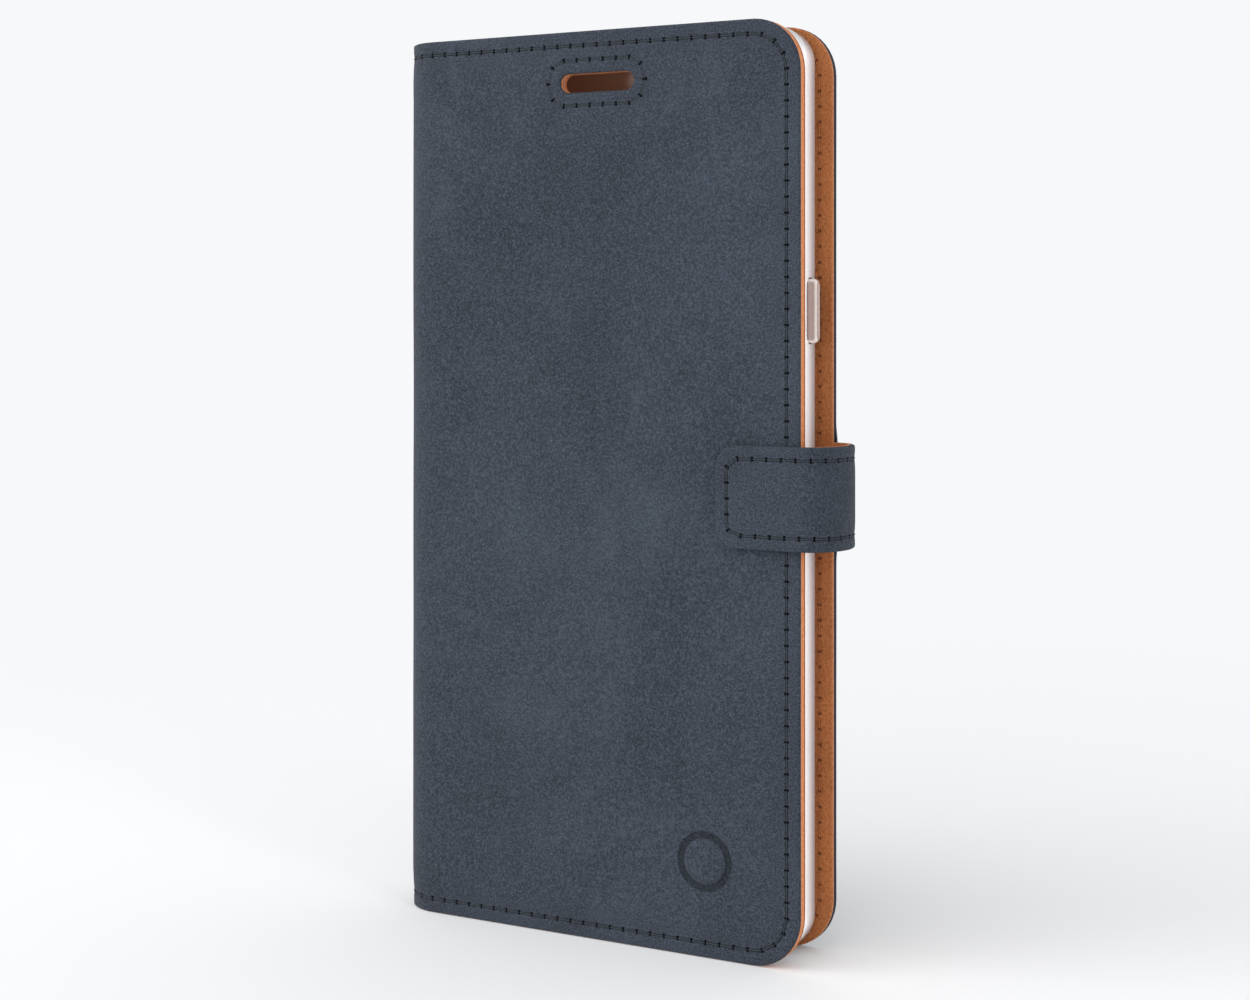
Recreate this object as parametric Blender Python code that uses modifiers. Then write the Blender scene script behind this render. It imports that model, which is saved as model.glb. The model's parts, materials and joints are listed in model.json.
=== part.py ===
"""Phone wallet case: a folding leather cover round a clear phone tray, held shut by a magnetic strap.

+X runs from the spine to the cover's free edge, +Y from the front cover to the back cover, and +Z up.
The origin is on the back cover's outer face, behind the middle of the phone.
"""

import math

import bmesh
import bpy
from mathutils import Matrix

MM = 0.001

# The phone that the case is made for, and the clear tray that grips it.
PHONE_WIDTH = 75.2 * MM
PHONE_HEIGHT = 167.0 * MM
PHONE_DEPTH = 8.1 * MM
PHONE_CORNER = 5.7 * MM
TRAY_WALL = 1.3 * MM
TRAY_FLOOR = 0.8 * MM
TRAY_LIP = 0.5 * MM
LIP_REACH = 0.7 * MM
TRAY_WIDTH = PHONE_WIDTH + 2 * TRAY_WALL
TRAY_HEIGHT = PHONE_HEIGHT + 2 * TRAY_WALL
TRAY_DEPTH = TRAY_FLOOR + PHONE_DEPTH + TRAY_LIP

# The cover: how far it stands past the tray, and the round spine that joins its two flat sides.
MARGIN_FREE_EDGE = 3.0 * MM
MARGIN_ENDS = 0.2 * MM
CASE_DEPTH = 16.2 * MM
CORNER_RADIUS = 9.5 * MM
COVER_HEIGHT = TRAY_HEIGHT + 2 * MARGIN_ENDS
FREE_EDGE = TRAY_WIDTH / 2 + MARGIN_FREE_EDGE
SPINE_RADIUS = CASE_DEPTH / 2
SPINE_X = FREE_EDGE - 79.1 * MM
SPINE_Y = -SPINE_RADIUS
CREASE_TURN = math.radians(45)  # each crease lies this far round the spine from a flat side

# Layers, as (distance from the cover's outer face, thickness).
OUTER_LEATHER = (0.0, 0.9 * MM)
BACK_BOARD = (1.0 * MM, 0.5 * MM)
BACK_LINING = (1.6 * MM, 0.6 * MM)
TRAY_ADHESIVE = (2.25 * MM, 0.2 * MM)
TRAY = (2.5 * MM, TRAY_DEPTH)
FRONT_BOARD = (1.0 * MM, 0.4 * MM)
FRONT_LINING = (1.5 * MM, 0.4 * MM)
CASH_PANEL = (2.0 * MM, 0.35 * MM)
CARD_PANELS = [(2.45 * MM, 0.35 * MM), (2.9 * MM, 0.35 * MM), (3.35 * MM, 0.35 * MM)]
BOARD_INSET = 4.6 * MM
BOARD_FROM_SPINE = 1.0 * MM
FILM_WIDTH = 60.0 * MM
FILM_LOW = -70.0 * MM
FILM_HIGH = 38.0 * MM
FILM_RADIUS = 3.0 * MM
FIT_GAP = 0.3 * MM

# Openings: the speaker slot in the front, the camera window in the back and the ports in the tray.
SLOT_WIDTH = 15.7 * MM
SLOT_HEIGHT = 3.5 * MM
SLOT_Z = COVER_HEIGHT / 2 - 9.7 * MM
SLOT_RING_RADIUS = 3.2 * MM
CAMERA_WIDTH = 46.0 * MM
CAMERA_HEIGHT = 16.0 * MM
CAMERA_RADIUS = 4.5 * MM
CAMERA_Z = 53.0 * MM
RIM_RADIUS = 1.1 * MM
PORT_DEPTH = 6.0 * MM
CHARGING_PORT = (12.0 * MM, 5.0 * MM)
JACK_PORT = (6.0 * MM, 6.0 * MM)
JACK_X = -21.0 * MM
SPEAKER_PORT = (13.0 * MM, 2.6 * MM)
SPEAKER_X = 20.0 * MM
MICROPHONE_PORT = (2.0 * MM, 2.0 * MM)
MICROPHONE_X = 12.0 * MM
FULLY_ROUND = 0.49  # of an opening's height: a shade under half, so that its two rounded ends don't meet

# Card slots: cards go in from the spine side, each slot's mouth a step behind the next.
CARD_PANEL_HEIGHT = 98.0 * MM
CARD_MOUTH_X = -25.0 * MM
CARD_MOUTH_STEP = 11.0 * MM
CARD_PANEL_END = FREE_EDGE - 4.6 * MM
CASH_MOUTH_X = SPINE_X + 4.0 * MM
NOTCH_RADIUS = 9.0 * MM
NOTCH_DEPTH = 4.0 * MM
NOTCH_SIDES = 32
POCKET_SEAM_INSET = 1.5 * MM
POCKET_THREAD_RADIUS = 0.1 * MM
POCKET_STEP_FOOT = 0.8 * MM
POCKET_STEP_HEAD = 0.2 * MM
THREAD_END = 0.5 * MM

# The strap: a leather band that leaves the back cover's edge and hooks round onto the front.
STRAP_WIDTH = 18.6 * MM
STRAP_Z = -0.9 * MM
STRAP_LOW = STRAP_Z - STRAP_WIDTH / 2
STRAP_HIGH = STRAP_Z + STRAP_WIDTH / 2
STRAP_OVERLAP = 16.2 * MM
STRAP_LEATHER = (0.0, 0.8 * MM)
STRAP_LINING = (0.85 * MM, 0.6 * MM)
STRAP_BULGE = 6.6 * MM
STRAP_REST_GAP = 0.3 * MM
STRAP_TIP_RADIUS = 4.0 * MM
STRAP_SEAM_RADIUS = 2.0 * MM
STRAP_BACK_Y = -0.7 * MM
STRAP_FROM_EDGE = 0.2 * MM
MAGNET_GAP = 0.1 * MM
STRAP_FRONT_Y = -(CASE_DEPTH + STRAP_REST_GAP + STRAP_LINING[0] + STRAP_LINING[1])
STRAP_Y = (STRAP_BACK_Y + STRAP_FRONT_Y) / 2
STRAP_REACH = (STRAP_BACK_Y - STRAP_FRONT_Y) / 2
STRAP_CREASE_TURN = math.radians(45)
TONGUE_LENGTH = 9.0 * MM
TONGUE = (1.02 * MM, 0.475 * MM)
MAGNET_SIZE = (9.0 * MM, 0.6 * MM, 11.0 * MM)
CATCH_SIZE = (11.0 * MM, 0.36 * MM, 14.0 * MM)

# Buttons, as pads in windows in the tray's walls.
BUTTON_Y = -6.0 * MM
BUTTON_WIDTH = 3.6 * MM
BUTTON_STAND = 1.5 * MM
BUTTON_CLEARANCE = 0.3 * MM
BUTTON_RIM_RADIUS = 0.4 * MM
POWER_LENGTH = 11.7 * MM
POWER_Z = 32.5 * MM
VOLUME_LENGTH = 24.0 * MM
VOLUME_Z = 40.0 * MM

# Thread.
SEAM_INSET = 2.7 * MM
STRAP_SEAM_INSET = 2.4 * MM
SEAM_OFFSET = 2.5 * MM
THREAD_RADIUS = 0.17 * MM
THREAD_SINK = 0.2 * MM
GROOVE_RADIUS = 0.5 * MM
GROOVE_LIFT = 0.06 * MM
SURFACE_GAP = 0.03 * MM

CUT_GAP = math.radians(0.9)  # half the gap between two leather pieces that meet at a crease
PAST = 2.0 * MM  # how far a cutter reaches past what it cuts
ARC_STEPS = 5
CORNER_STEPS = 6


# Scene and materials.


def clear_scene():
    for obj in list(bpy.data.objects):
        bpy.data.objects.remove(obj)


def new_collection(name):
    found = bpy.data.collections.new(name)
    bpy.context.scene.collection.children.link(found)
    return found


def principled(name, colour, roughness, metallic=0.0, transmission=0.0):
    made = bpy.data.materials.new(name)
    made.use_nodes = True
    shader = made.node_tree.nodes["Principled BSDF"]
    shader.inputs["Base Color"].default_value = (*colour, 1.0)
    shader.inputs["Roughness"].default_value = roughness
    shader.inputs["Metallic"].default_value = metallic
    shader.inputs["Transmission Weight"].default_value = transmission
    return made


clear_scene()
CASE = new_collection("phone_wallet_case")
CUTTERS = new_collection("cutters")
NAVY = principled("navy_nubuck", (0.042, 0.052, 0.074), 0.9)
TAN = principled("tan_nubuck", (0.35, 0.125, 0.04), 0.85)
BOARD = principled("grey_board", (0.32, 0.30, 0.27), 0.95)
CLEAR = principled("clear_tpu", (0.86, 0.88, 0.90), 0.15, transmission=0.9)
THREAD = principled("black_thread", (0.012, 0.012, 0.015), 0.7)
TAN_THREAD = principled("tan_thread", (0.19, 0.07, 0.025), 0.7)
ADHESIVE = principled("adhesive_film", (0.75, 0.75, 0.72), 0.4)
STEEL = principled("steel", (0.55, 0.56, 0.58), 0.35, metallic=1.0)


# Building blocks.


def add(obj, material=None):
    """Puts an object in the case, or in the cutters if it has no material."""
    for holder in list(obj.users_collection):
        holder.objects.unlink(obj)
    if material is None:
        CUTTERS.objects.link(obj)
        obj.hide_render = True
        obj.display_type = "WIRE"
    else:
        CASE.objects.link(obj)
        obj.data.materials.append(material)
    return obj


def round_marked_edges(obj, radius, steps=CORNER_STEPS):
    bevel = obj.modifiers.new("corners", "BEVEL")
    bevel.limit_method = "WEIGHT"
    bevel.width = radius
    bevel.segments = steps


def mark(mesh, wanted):
    """Gives a full bevel weight to each edge whose two ends pass the test."""
    weights = mesh.attributes.new("bevel_weight_edge", "FLOAT", "EDGE")
    for edge in mesh.edges:
        a, b = (mesh.vertices[i].co for i in edge.vertices)
        if wanted(a, b):
            weights.data[edge.index].value = 1.0


def box(name, low, high, material=None, radius=0.0, axis=1, steps=CORNER_STEPS, right_only=False):
    """A box between two corners whose edges along one axis are rounded."""
    bpy.ops.mesh.primitive_cube_add(size=1)
    obj = bpy.context.object
    obj.name = name
    obj.location = [(a + b) / 2 for a, b in zip(low, high)]
    size = [b - a for a, b in zip(low, high)]
    for vertex in obj.data.vertices:
        vertex.co = [c * s for c, s in zip(vertex.co, size)]
    if radius:

        def runs_along(a, b):
            same = all(abs(a[i] - b[i]) < 1e-7 for i in range(3) if i != axis)
            return same and (a.x > 0 or not right_only)

        mark(obj.data, runs_along)
        round_marked_edges(obj, radius, steps)
    return add(obj, material)


def band(name, outer, inner, low, high, material, rounded_x=None, radius=0.0):
    """A wall between two lines of (x, y) points, from z low to high, with round corners at rounded_x."""
    work = bmesh.new()
    ring = [work.verts.new((x, y, low)) for x, y in outer + inner[::-1]]
    face = work.faces.new(ring)
    grown = bmesh.ops.extrude_face_region(work, geom=[face])["geom"]
    bmesh.ops.translate(
        work, vec=(0, 0, high - low), verts=[v for v in grown if isinstance(v, bmesh.types.BMVert)]
    )
    bmesh.ops.recalc_face_normals(work, faces=work.faces)
    mesh = bpy.data.meshes.new(name)
    work.to_mesh(mesh)
    work.free()
    obj = add(bpy.data.objects.new(name, mesh), material)
    if radius:

        def at_end(a, b):
            level = abs(a.z - b.z) < 1e-7
            return level and abs(a.x - rounded_x) < 1e-7 and abs(b.x - rounded_x) < 1e-7

        mark(mesh, at_end)
        round_marked_edges(obj, radius)
    return obj


def cut(obj, *cutters):
    for cutter in cutters:
        boolean = obj.modifiers.new("cut", "BOOLEAN")
        boolean.operation = "DIFFERENCE"
        boolean.object = cutter
    return obj


def strand(name, points, radius, material, closed=False, sides_level=1):
    """A thread along a line of points."""
    curve = bpy.data.curves.new(name, "CURVE")
    curve.dimensions = "3D"
    curve.bevel_depth = radius
    curve.bevel_resolution = sides_level
    curve.use_fill_caps = True
    spline = curve.splines.new("POLY")
    spline.points.add(len(points) - 1)
    for point, place in zip(spline.points, points):
        point.co = (*place, 1.0)
    spline.use_cyclic_u = closed
    return add(bpy.data.objects.new(name, curve), material)


def sew(name, leather, line, closed=False, material=THREAD):
    """A seam sunk in a groove. line gives the seam's points at a depth below the leather's open face."""
    above = line(-GROOVE_LIFT)
    cut(leather, groove(name, above if closed else extended(above), closed))
    return strand(name, line(THREAD_SINK), THREAD_RADIUS, material, closed)


def extended(points):
    """A seam with its two ends drawn on, so that its groove runs out of the leather."""
    first = [a + (a - b) for a, b in zip(points[0], points[1])]
    last = [a + (a - b) for a, b in zip(points[-1], points[-2])]
    return [tuple(first)] + points + [tuple(last)]


def groove(name, points, closed=False):
    """A round cutter along a line of points, as a mesh, because a curve can't cut."""
    line = strand(name, points, GROOVE_RADIUS, THREAD, closed, 2)
    graph = bpy.context.evaluated_depsgraph_get()
    mesh = bpy.data.meshes.new_from_object(line.evaluated_get(graph))
    work = bmesh.new()
    work.from_mesh(mesh)
    bmesh.ops.remove_doubles(work, verts=work.verts, dist=1e-7)
    bmesh.ops.recalc_face_normals(work, faces=work.faces)
    work.to_mesh(mesh)
    work.free()
    made = bpy.data.objects.new(name + "_cutter", mesh)
    made.matrix_world = line.matrix_world
    bpy.data.objects.remove(line)
    return add(made)


def hinge(name, point, parent, children):
    """An empty on a fold's axis, which the pieces beyond the fold hang on."""
    axis = bpy.data.objects.new(name, None)
    CASE.objects.link(axis)
    axis.empty_display_size = 5 * MM
    axis.location = (*point, 0)
    if parent:
        axis.location -= world_place(parent)
        axis.parent = parent
    for child in children:
        attach(bpy.data.objects[child], axis)
    return axis


def world_place(axis):
    """Where a hinge's empty is in the world. The empties hang on one another and none is turned."""
    place = axis.location.copy()
    while axis.parent:
        axis = axis.parent
        place += axis.location
    return place


def attach(child, axis):
    """Parents a piece to a hinge's empty and leaves it where it is."""
    child.parent = axis
    child.matrix_parent_inverse = Matrix.Translation(-world_place(axis))


# Lines that the leather and the seams follow.


def spread(start, end, steps):
    return [start + (end - start) * i / steps for i in range(steps + 1)]


def spine_point(turn, inset):
    """A point of the cover's cross-section, at an angle round the spine from the front face."""
    radius = SPINE_RADIUS - inset
    return (SPINE_X - radius * math.sin(turn), SPINE_Y - radius * math.cos(turn))


def spine_line(start, end, inset):
    return [spine_point(turn, inset) for turn in spread(start, end, ARC_STEPS)]


def at_level(line, z):
    return [(x, y, z) for x, y in line]


def cover_lines(side, layer):
    """The outer and inner lines of a cover layer: its flat side, then its share of the round spine."""
    lines = []
    for inset in (layer[0], layer[0] + layer[1]):
        if side == "front":
            turns = spine_line(0.0, CREASE_TURN - CUT_GAP, inset)
            lines.append([(FREE_EDGE, turns[0][1])] + turns)
        elif side == "back":
            turns = spine_line(math.pi, math.pi - CREASE_TURN + CUT_GAP, inset)
            lines.append([(FREE_EDGE, turns[0][1])] + turns)
        else:
            lines.append(spine_line(CREASE_TURN + CUT_GAP, math.pi - CREASE_TURN - CUT_GAP, inset))
    return lines


def strap_point(turn, inset):
    """A point of the strap's cross-section, at an angle round its loop from the back."""
    x = FREE_EDGE + (STRAP_BULGE - inset) * math.sin(turn)
    return (x, STRAP_Y + (STRAP_REACH - inset) * math.cos(turn))


def strap_line(start, end, inset):
    return [strap_point(turn, inset) for turn in spread(start, end, ARC_STEPS)]


def seam_points(side, depth):
    """The seam along a cover's ends and free edge, from crease to crease, at a depth below its outer face."""
    z_end = COVER_HEIGHT / 2 - SEAM_INSET
    x_end = FREE_EDGE - SEAM_INSET
    radius = CORNER_RADIUS - SEAM_INSET
    if side == "front":
        turns = spine_line(CREASE_TURN - CUT_GAP * 2, 0.0, depth)
        y = -CASE_DEPTH + depth
    else:
        turns = spine_line(math.pi - CREASE_TURN + CUT_GAP * 2, math.pi, depth)
        y = -depth
    top = [(x, level, z_end) for x, level in turns]
    for turn in spread(0.0, math.pi / 2, CORNER_STEPS):
        x = x_end - radius + radius * math.sin(turn)
        top.append((x, y, z_end - radius + radius * math.cos(turn)))
    return top + [(x, level, -z) for x, level, z in reversed(top)]


def loop_points(width, height, radius, y, z_centre):
    """A closed rounded-rectangle seam round an opening."""
    points = []
    for quarter in range(4):
        sign_x = 1 if quarter in (0, 3) else -1
        sign_z = 1 if quarter in (0, 1) else -1
        for turn in spread(quarter * math.pi / 2, (quarter + 1) * math.pi / 2, 3):
            x = sign_x * (width / 2 - radius) + radius * math.cos(turn)
            z = sign_z * (height / 2 - radius) + radius * math.sin(turn)
            points.append((x, y, z_centre + z))
    return points


# The cover.


def opening(name, width, height, radius, z, y_low, y_high):
    low = (-width / 2, y_low, z - height / 2)
    high = (width / 2, y_high, z + height / 2)
    return box(name, low, high, radius=radius)


def cover_sheet(name, side, layer, material):
    outer, inner = cover_lines(side, layer)
    ends = (-COVER_HEIGHT / 2, COVER_HEIGHT / 2)
    if side == "spine":
        return band(name, outer, inner, *ends, material)
    return band(name, outer, inner, *ends, material, FREE_EDGE, CORNER_RADIUS)


def flat_plate(name, layer, from_back, x_low, x_high, z_low, z_high, material, radius, right_only=False):
    """A flat layer on the back cover, or on the front cover."""
    near = layer[0], layer[0] + layer[1]
    ys = (-near[1], -near[0]) if from_back else (-CASE_DEPTH + near[0], -CASE_DEPTH + near[1])
    low, high = (x_low, ys[0], z_low), (x_high, ys[1], z_high)
    return box(name, low, high, material, radius, right_only=right_only)


def make_front_cover():
    slot = opening("speaker_slot", SLOT_WIDTH, SLOT_HEIGHT, SLOT_HEIGHT * FULLY_ROUND, SLOT_Z,
                   -CASE_DEPTH - PAST, -CASE_DEPTH + 2 * PAST)
    z_end = COVER_HEIGHT / 2
    ring_size = (SLOT_WIDTH + 2 * SEAM_OFFSET, SLOT_HEIGHT + 2 * SEAM_OFFSET, SLOT_RING_RADIUS)
    leather = cover_sheet("front_outer_leather", "front", OUTER_LEATHER, NAVY)
    cut(leather, slot)
    sew("front_edge_needle_thread", leather, lambda depth: seam_points("front", depth))
    sew("speaker_slot_thread", leather,
        lambda depth: loop_points(*ring_size, depth - CASE_DEPTH, SLOT_Z), True)
    cut(cover_sheet("front_lining", "front", FRONT_LINING, TAN), slot)
    board = flat_plate("front_stiffener_board", FRONT_BOARD, False, SPINE_X + BOARD_FROM_SPINE,
                       FREE_EDGE - BOARD_INSET, -z_end + BOARD_INSET, z_end - BOARD_INSET,
                       BOARD, CORNER_RADIUS - BOARD_INSET, True)
    catch_x = FREE_EDGE - STRAP_OVERLAP / 2
    catch_y = -CASE_DEPTH + FRONT_BOARD[0] + FRONT_BOARD[1] / 2
    board_window = centred_box("catch_window", (catch_x, catch_y, STRAP_Z),
                               (CATCH_SIZE[0] + 2 * FIT_GAP, PAST, CATCH_SIZE[2] + 2 * FIT_GAP))
    cut(board, slot, board_window)
    centred_box("front_catch_plate", (catch_x, catch_y, STRAP_Z), CATCH_SIZE, STEEL)
    cash = flat_plate("cash_pocket_panel", CASH_PANEL, False, CASH_MOUTH_X, FREE_EDGE, -z_end, z_end,
                      TAN, CORNER_RADIUS, True)
    cut(cash, slot)
    inner_face = CASH_PANEL[0] + CASH_PANEL[1] + SURFACE_GAP + THREAD_RADIUS
    turns = [p for p in seam_points("front", inner_face) if p[0] > CASH_MOUTH_X]
    first = (CASH_MOUTH_X + THREAD_END, *turns[0][1:])
    last = (CASH_MOUTH_X + THREAD_END, *turns[-1][1:])
    strand("front_edge_bobbin_thread", [first, *turns, last], THREAD_RADIUS, TAN_THREAD)
    make_card_pockets()


def centred_box(name, centre, size, material=None, radius=0.0, axis=1):
    low = [c - s / 2 for c, s in zip(centre, size)]
    high = [c + s / 2 for c, s in zip(centre, size)]
    return box(name, low, high, material, radius, axis)


def make_card_pockets():
    half = CARD_PANEL_HEIGHT / 2
    names = ("card_pocket_rear", "card_pocket_middle", "card_pocket_front")
    for index, (name, layer) in enumerate(zip(names, CARD_PANELS)):
        mouth = CARD_MOUTH_X + index * CARD_MOUTH_STEP
        panel = flat_plate(name, layer, False, mouth, CARD_PANEL_END, -half, half, TAN, 0.0)
        bpy.ops.mesh.primitive_cylinder_add(
            vertices=NOTCH_SIDES, radius=NOTCH_RADIUS, depth=2 * PAST, rotation=(math.pi / 2, 0, 0),
            location=(mouth - NOTCH_RADIUS + NOTCH_DEPTH, -CASE_DEPTH + layer[0], 0),
        )
        notch = bpy.context.object
        notch.name = name + "_thumb_notch"
        cut(panel, add(notch))
    strand("card_pocket_thread", card_seam_points(), POCKET_THREAD_RADIUS, TAN_THREAD)


def card_seam_points():
    """One seam along the pockets' top, far end and bottom, stepping up with each pocket's mouth."""
    z = CARD_PANEL_HEIGHT / 2 - POCKET_SEAM_INSET
    lift = POCKET_THREAD_RADIUS + SURFACE_GAP
    top = []
    for index, (start, thickness) in enumerate(CARD_PANELS):
        y = -CASE_DEPTH + start + thickness + lift
        x = CARD_MOUTH_X + index * CARD_MOUTH_STEP
        top.append((x + THREAD_END if index == 0 else x - POCKET_STEP_HEAD, y, z))
        if index + 1 < len(CARD_PANELS):
            top.append((x + CARD_MOUTH_STEP - POCKET_STEP_FOOT, y, z))
    top.append((CARD_PANEL_END - POCKET_SEAM_INSET, top[-1][1], z))
    return top + [(x, y, -level) for x, y, level in reversed(top)]


def make_spine():
    leather = cover_sheet("spine_outer_leather", "spine", OUTER_LEATHER, NAVY)
    cover_sheet("spine_lining", "spine", BACK_LINING, TAN)
    start, end = CREASE_TURN + CUT_GAP * 2, math.pi - CREASE_TURN - CUT_GAP * 2
    level = COVER_HEIGHT / 2 - SEAM_INSET
    sew("spine_upper_thread", leather, lambda depth: at_level(spine_line(start, end, depth), level))
    sew("spine_lower_thread", leather, lambda depth: at_level(spine_line(start, end, depth), -level))


def make_back_cover():
    z_end = COVER_HEIGHT / 2
    size = (CAMERA_WIDTH, CAMERA_HEIGHT, CAMERA_RADIUS)
    camera = opening("camera_window", *size, CAMERA_Z, -CASE_DEPTH / 2, PAST)
    ring_size = [CAMERA_WIDTH + 2 * SEAM_OFFSET, CAMERA_HEIGHT + 2 * SEAM_OFFSET, CAMERA_RADIUS + SEAM_OFFSET]
    leather = cover_sheet("back_outer_leather", "back", OUTER_LEATHER, NAVY)
    cut(leather, camera)
    sew("back_edge_needle_thread", leather, lambda depth: seam_points("back", depth))
    sew("camera_window_thread", leather, lambda depth: loop_points(*ring_size, -depth, CAMERA_Z), True)
    lining = cover_sheet("back_lining", "back", BACK_LINING, TAN)
    cut(lining, camera)
    inner_face = BACK_LINING[0] + BACK_LINING[1]
    sew("back_edge_bobbin_thread", lining, lambda depth: seam_points("back", inner_face - depth),
        material=TAN_THREAD)
    board = flat_plate("back_stiffener_board", BACK_BOARD, True, SPINE_X + BOARD_FROM_SPINE,
                       FREE_EDGE - BOARD_INSET, -z_end + BOARD_INSET, z_end - BOARD_INSET,
                       BOARD, CORNER_RADIUS - BOARD_INSET, True)
    tongue_notch = centred_box("tongue_notch", (FREE_EDGE - TONGUE_LENGTH / 2, -TONGUE[0], STRAP_Z),
                               (TONGUE_LENGTH + 2 * FIT_GAP, PAST, STRAP_WIDTH + 2 * FIT_GAP))
    cut(board, camera, tongue_notch)
    flat_plate("tray_adhesive_film", TRAY_ADHESIVE, True, -FILM_WIDTH / 2, FILM_WIDTH / 2,
               FILM_LOW, FILM_HIGH, ADHESIVE, FILM_RADIUS)
    make_tray(camera)


# The tray and its buttons.


def make_tray(camera):
    back, front = -TRAY[0], -TRAY[0] - TRAY[1]
    half = (TRAY_WIDTH / 2, TRAY_HEIGHT / 2)
    tray = box("phone_tray", (-half[0], front, -half[1]), (half[0], back, half[1]), CLEAR,
               PHONE_CORNER + TRAY_WALL)
    rim = tray.modifiers.new("soft_rim", "BEVEL")
    rim.limit_method = "ANGLE"
    rim.angle_limit = math.radians(60)
    rim.width = RIM_RADIUS
    rim.segments = 2
    seat_back = back - TRAY_FLOOR
    half_phone = (PHONE_WIDTH / 2, PHONE_HEIGHT / 2)
    seat = box("phone_seat", (-half_phone[0], seat_back - PHONE_DEPTH, -half_phone[1]),
               (half_phone[0], seat_back, half_phone[1]), radius=PHONE_CORNER)
    mouth_half = [side - LIP_REACH for side in half_phone]
    mouth = box("tray_mouth", (-mouth_half[0], front - PAST, -mouth_half[1]),
                (mouth_half[0], seat_back - PAST, mouth_half[1]), radius=PHONE_CORNER - LIP_REACH)
    middle = seat_back - PHONE_DEPTH / 2
    foot = -TRAY_HEIGHT / 2
    ports = [
        port("charging_port", CHARGING_PORT, (0, middle, foot)),
        port("jack_port", JACK_PORT, (JACK_X, middle, foot)),
        port("speaker_port", SPEAKER_PORT, (SPEAKER_X, middle, foot)),
        port("microphone_port", MICROPHONE_PORT, (MICROPHONE_X, middle, -foot)),
    ]
    wall_x = TRAY_WIDTH / 2 - TRAY_WALL / 2
    windows = [
        button_window("power_window", wall_x, POWER_Z, POWER_LENGTH),
        button_window("volume_window", -wall_x, VOLUME_Z, VOLUME_LENGTH),
    ]
    cut(tray, seat, mouth, camera, *ports, *windows)
    make_button("power_button_pad", 1, POWER_Z, POWER_LENGTH)
    make_button("volume_button_pad", -1, VOLUME_Z, VOLUME_LENGTH)


def port(name, size, centre):
    """A cutter for an opening with rounded ends in the tray's top or bottom wall."""
    return centred_box(name, centre, (*size, PORT_DEPTH), radius=size[1] * FULLY_ROUND, axis=2)


def button_window(name, x, z, length):
    width = BUTTON_WIDTH + 2 * BUTTON_CLEARANCE
    size = (TRAY_WALL + 2 * PAST, width, length + 2 * BUTTON_CLEARANCE)
    return centred_box(name, (x, BUTTON_Y, z), size, radius=width * FULLY_ROUND, axis=0)


def make_button(name, side, z, length):
    """A pad through the tray's wall, flush inside and standing out outside, with a soft outer rim."""
    inner = side * (TRAY_WIDTH / 2 - TRAY_WALL)
    outer = side * (TRAY_WIDTH / 2 + BUTTON_STAND)
    low = (min(inner, outer), BUTTON_Y - BUTTON_WIDTH / 2, z - length / 2)
    high = (max(inner, outer), BUTTON_Y + BUTTON_WIDTH / 2, z + length / 2)
    pad = box(name, low, high, CLEAR, BUTTON_WIDTH * FULLY_ROUND, axis=0)
    rim = pad.modifiers.new("soft_rim", "BEVEL")
    rim.limit_method = "ANGLE"
    rim.angle_limit = math.radians(60)
    rim.width = BUTTON_RIM_RADIUS
    rim.segments = 2


# The strap.


def strap_piece(name, layer, start, end, material, flat=False):
    lines = [strap_line(start, end, inset) for inset in (layer[0], layer[0] + layer[1])]
    tip = FREE_EDGE - STRAP_OVERLAP
    if flat:
        lines = [line + [(tip, line[-1][1])] for line in lines]
    radius = STRAP_TIP_RADIUS if flat else 0.0
    return band(name, *lines, STRAP_LOW, STRAP_HIGH, material, tip, radius)


def make_strap_root():
    """The skived tongue glued inside the back cover, and the strap's start outside the cover's edge."""
    edge = FREE_EDGE + STRAP_FROM_EDGE
    start = math.asin(STRAP_FROM_EDGE / STRAP_BULGE)
    end = STRAP_CREASE_TURN - CUT_GAP
    outer = strap_line(start, end, 0.0)
    inner = strap_line(start, end, STRAP_LEATHER[1])
    tongue_end = FREE_EDGE - TONGUE_LENGTH
    top = [(tongue_end, -TONGUE[0]), (edge, -TONGUE[0])] + outer
    bottom = [(tongue_end, -TONGUE[0] - TONGUE[1]), (edge, -TONGUE[0] - TONGUE[1])] + inner
    band("strap_root_leather", top, bottom, STRAP_LOW, STRAP_HIGH, NAVY)
    strap_piece("strap_root_lining", STRAP_LINING, start * 2, end, TAN)


def make_strap_loop():
    start, end = STRAP_CREASE_TURN + CUT_GAP, math.pi - STRAP_CREASE_TURN - CUT_GAP
    leather = strap_piece("strap_loop_leather", STRAP_LEATHER, start, end, NAVY)
    strap_piece("strap_loop_lining", STRAP_LINING, start, end, TAN)
    turns = start + CUT_GAP, end - CUT_GAP
    upper, lower = STRAP_HIGH - STRAP_SEAM_INSET, STRAP_LOW + STRAP_SEAM_INSET
    sew("strap_loop_upper_thread", leather, lambda depth: at_level(strap_line(*turns, depth), upper))
    sew("strap_loop_lower_thread", leather, lambda depth: at_level(strap_line(*turns, depth), lower))


def make_strap_tip():
    start = math.pi - STRAP_CREASE_TURN + CUT_GAP
    magnet_x = FREE_EDGE - STRAP_OVERLAP / 2
    magnet_y = STRAP_FRONT_Y + (STRAP_LEATHER[1] + STRAP_LINING[0]) / 2
    magnet_place = (magnet_x, magnet_y, STRAP_Z)
    recess = centred_box("magnet_recess", magnet_place, [side + 2 * MAGNET_GAP for side in MAGNET_SIZE])
    leather = strap_piece("strap_tip_leather", STRAP_LEATHER, start, math.pi, NAVY, True)
    cut(leather, recess)
    cut(strap_piece("strap_tip_lining", STRAP_LINING, start, math.pi, TAN, True), recess)
    centred_box("strap_magnet", magnet_place, MAGNET_SIZE, STEEL)
    sew("strap_tip_thread", leather, lambda depth: strap_tip_seam(start + CUT_GAP, depth))


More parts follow.
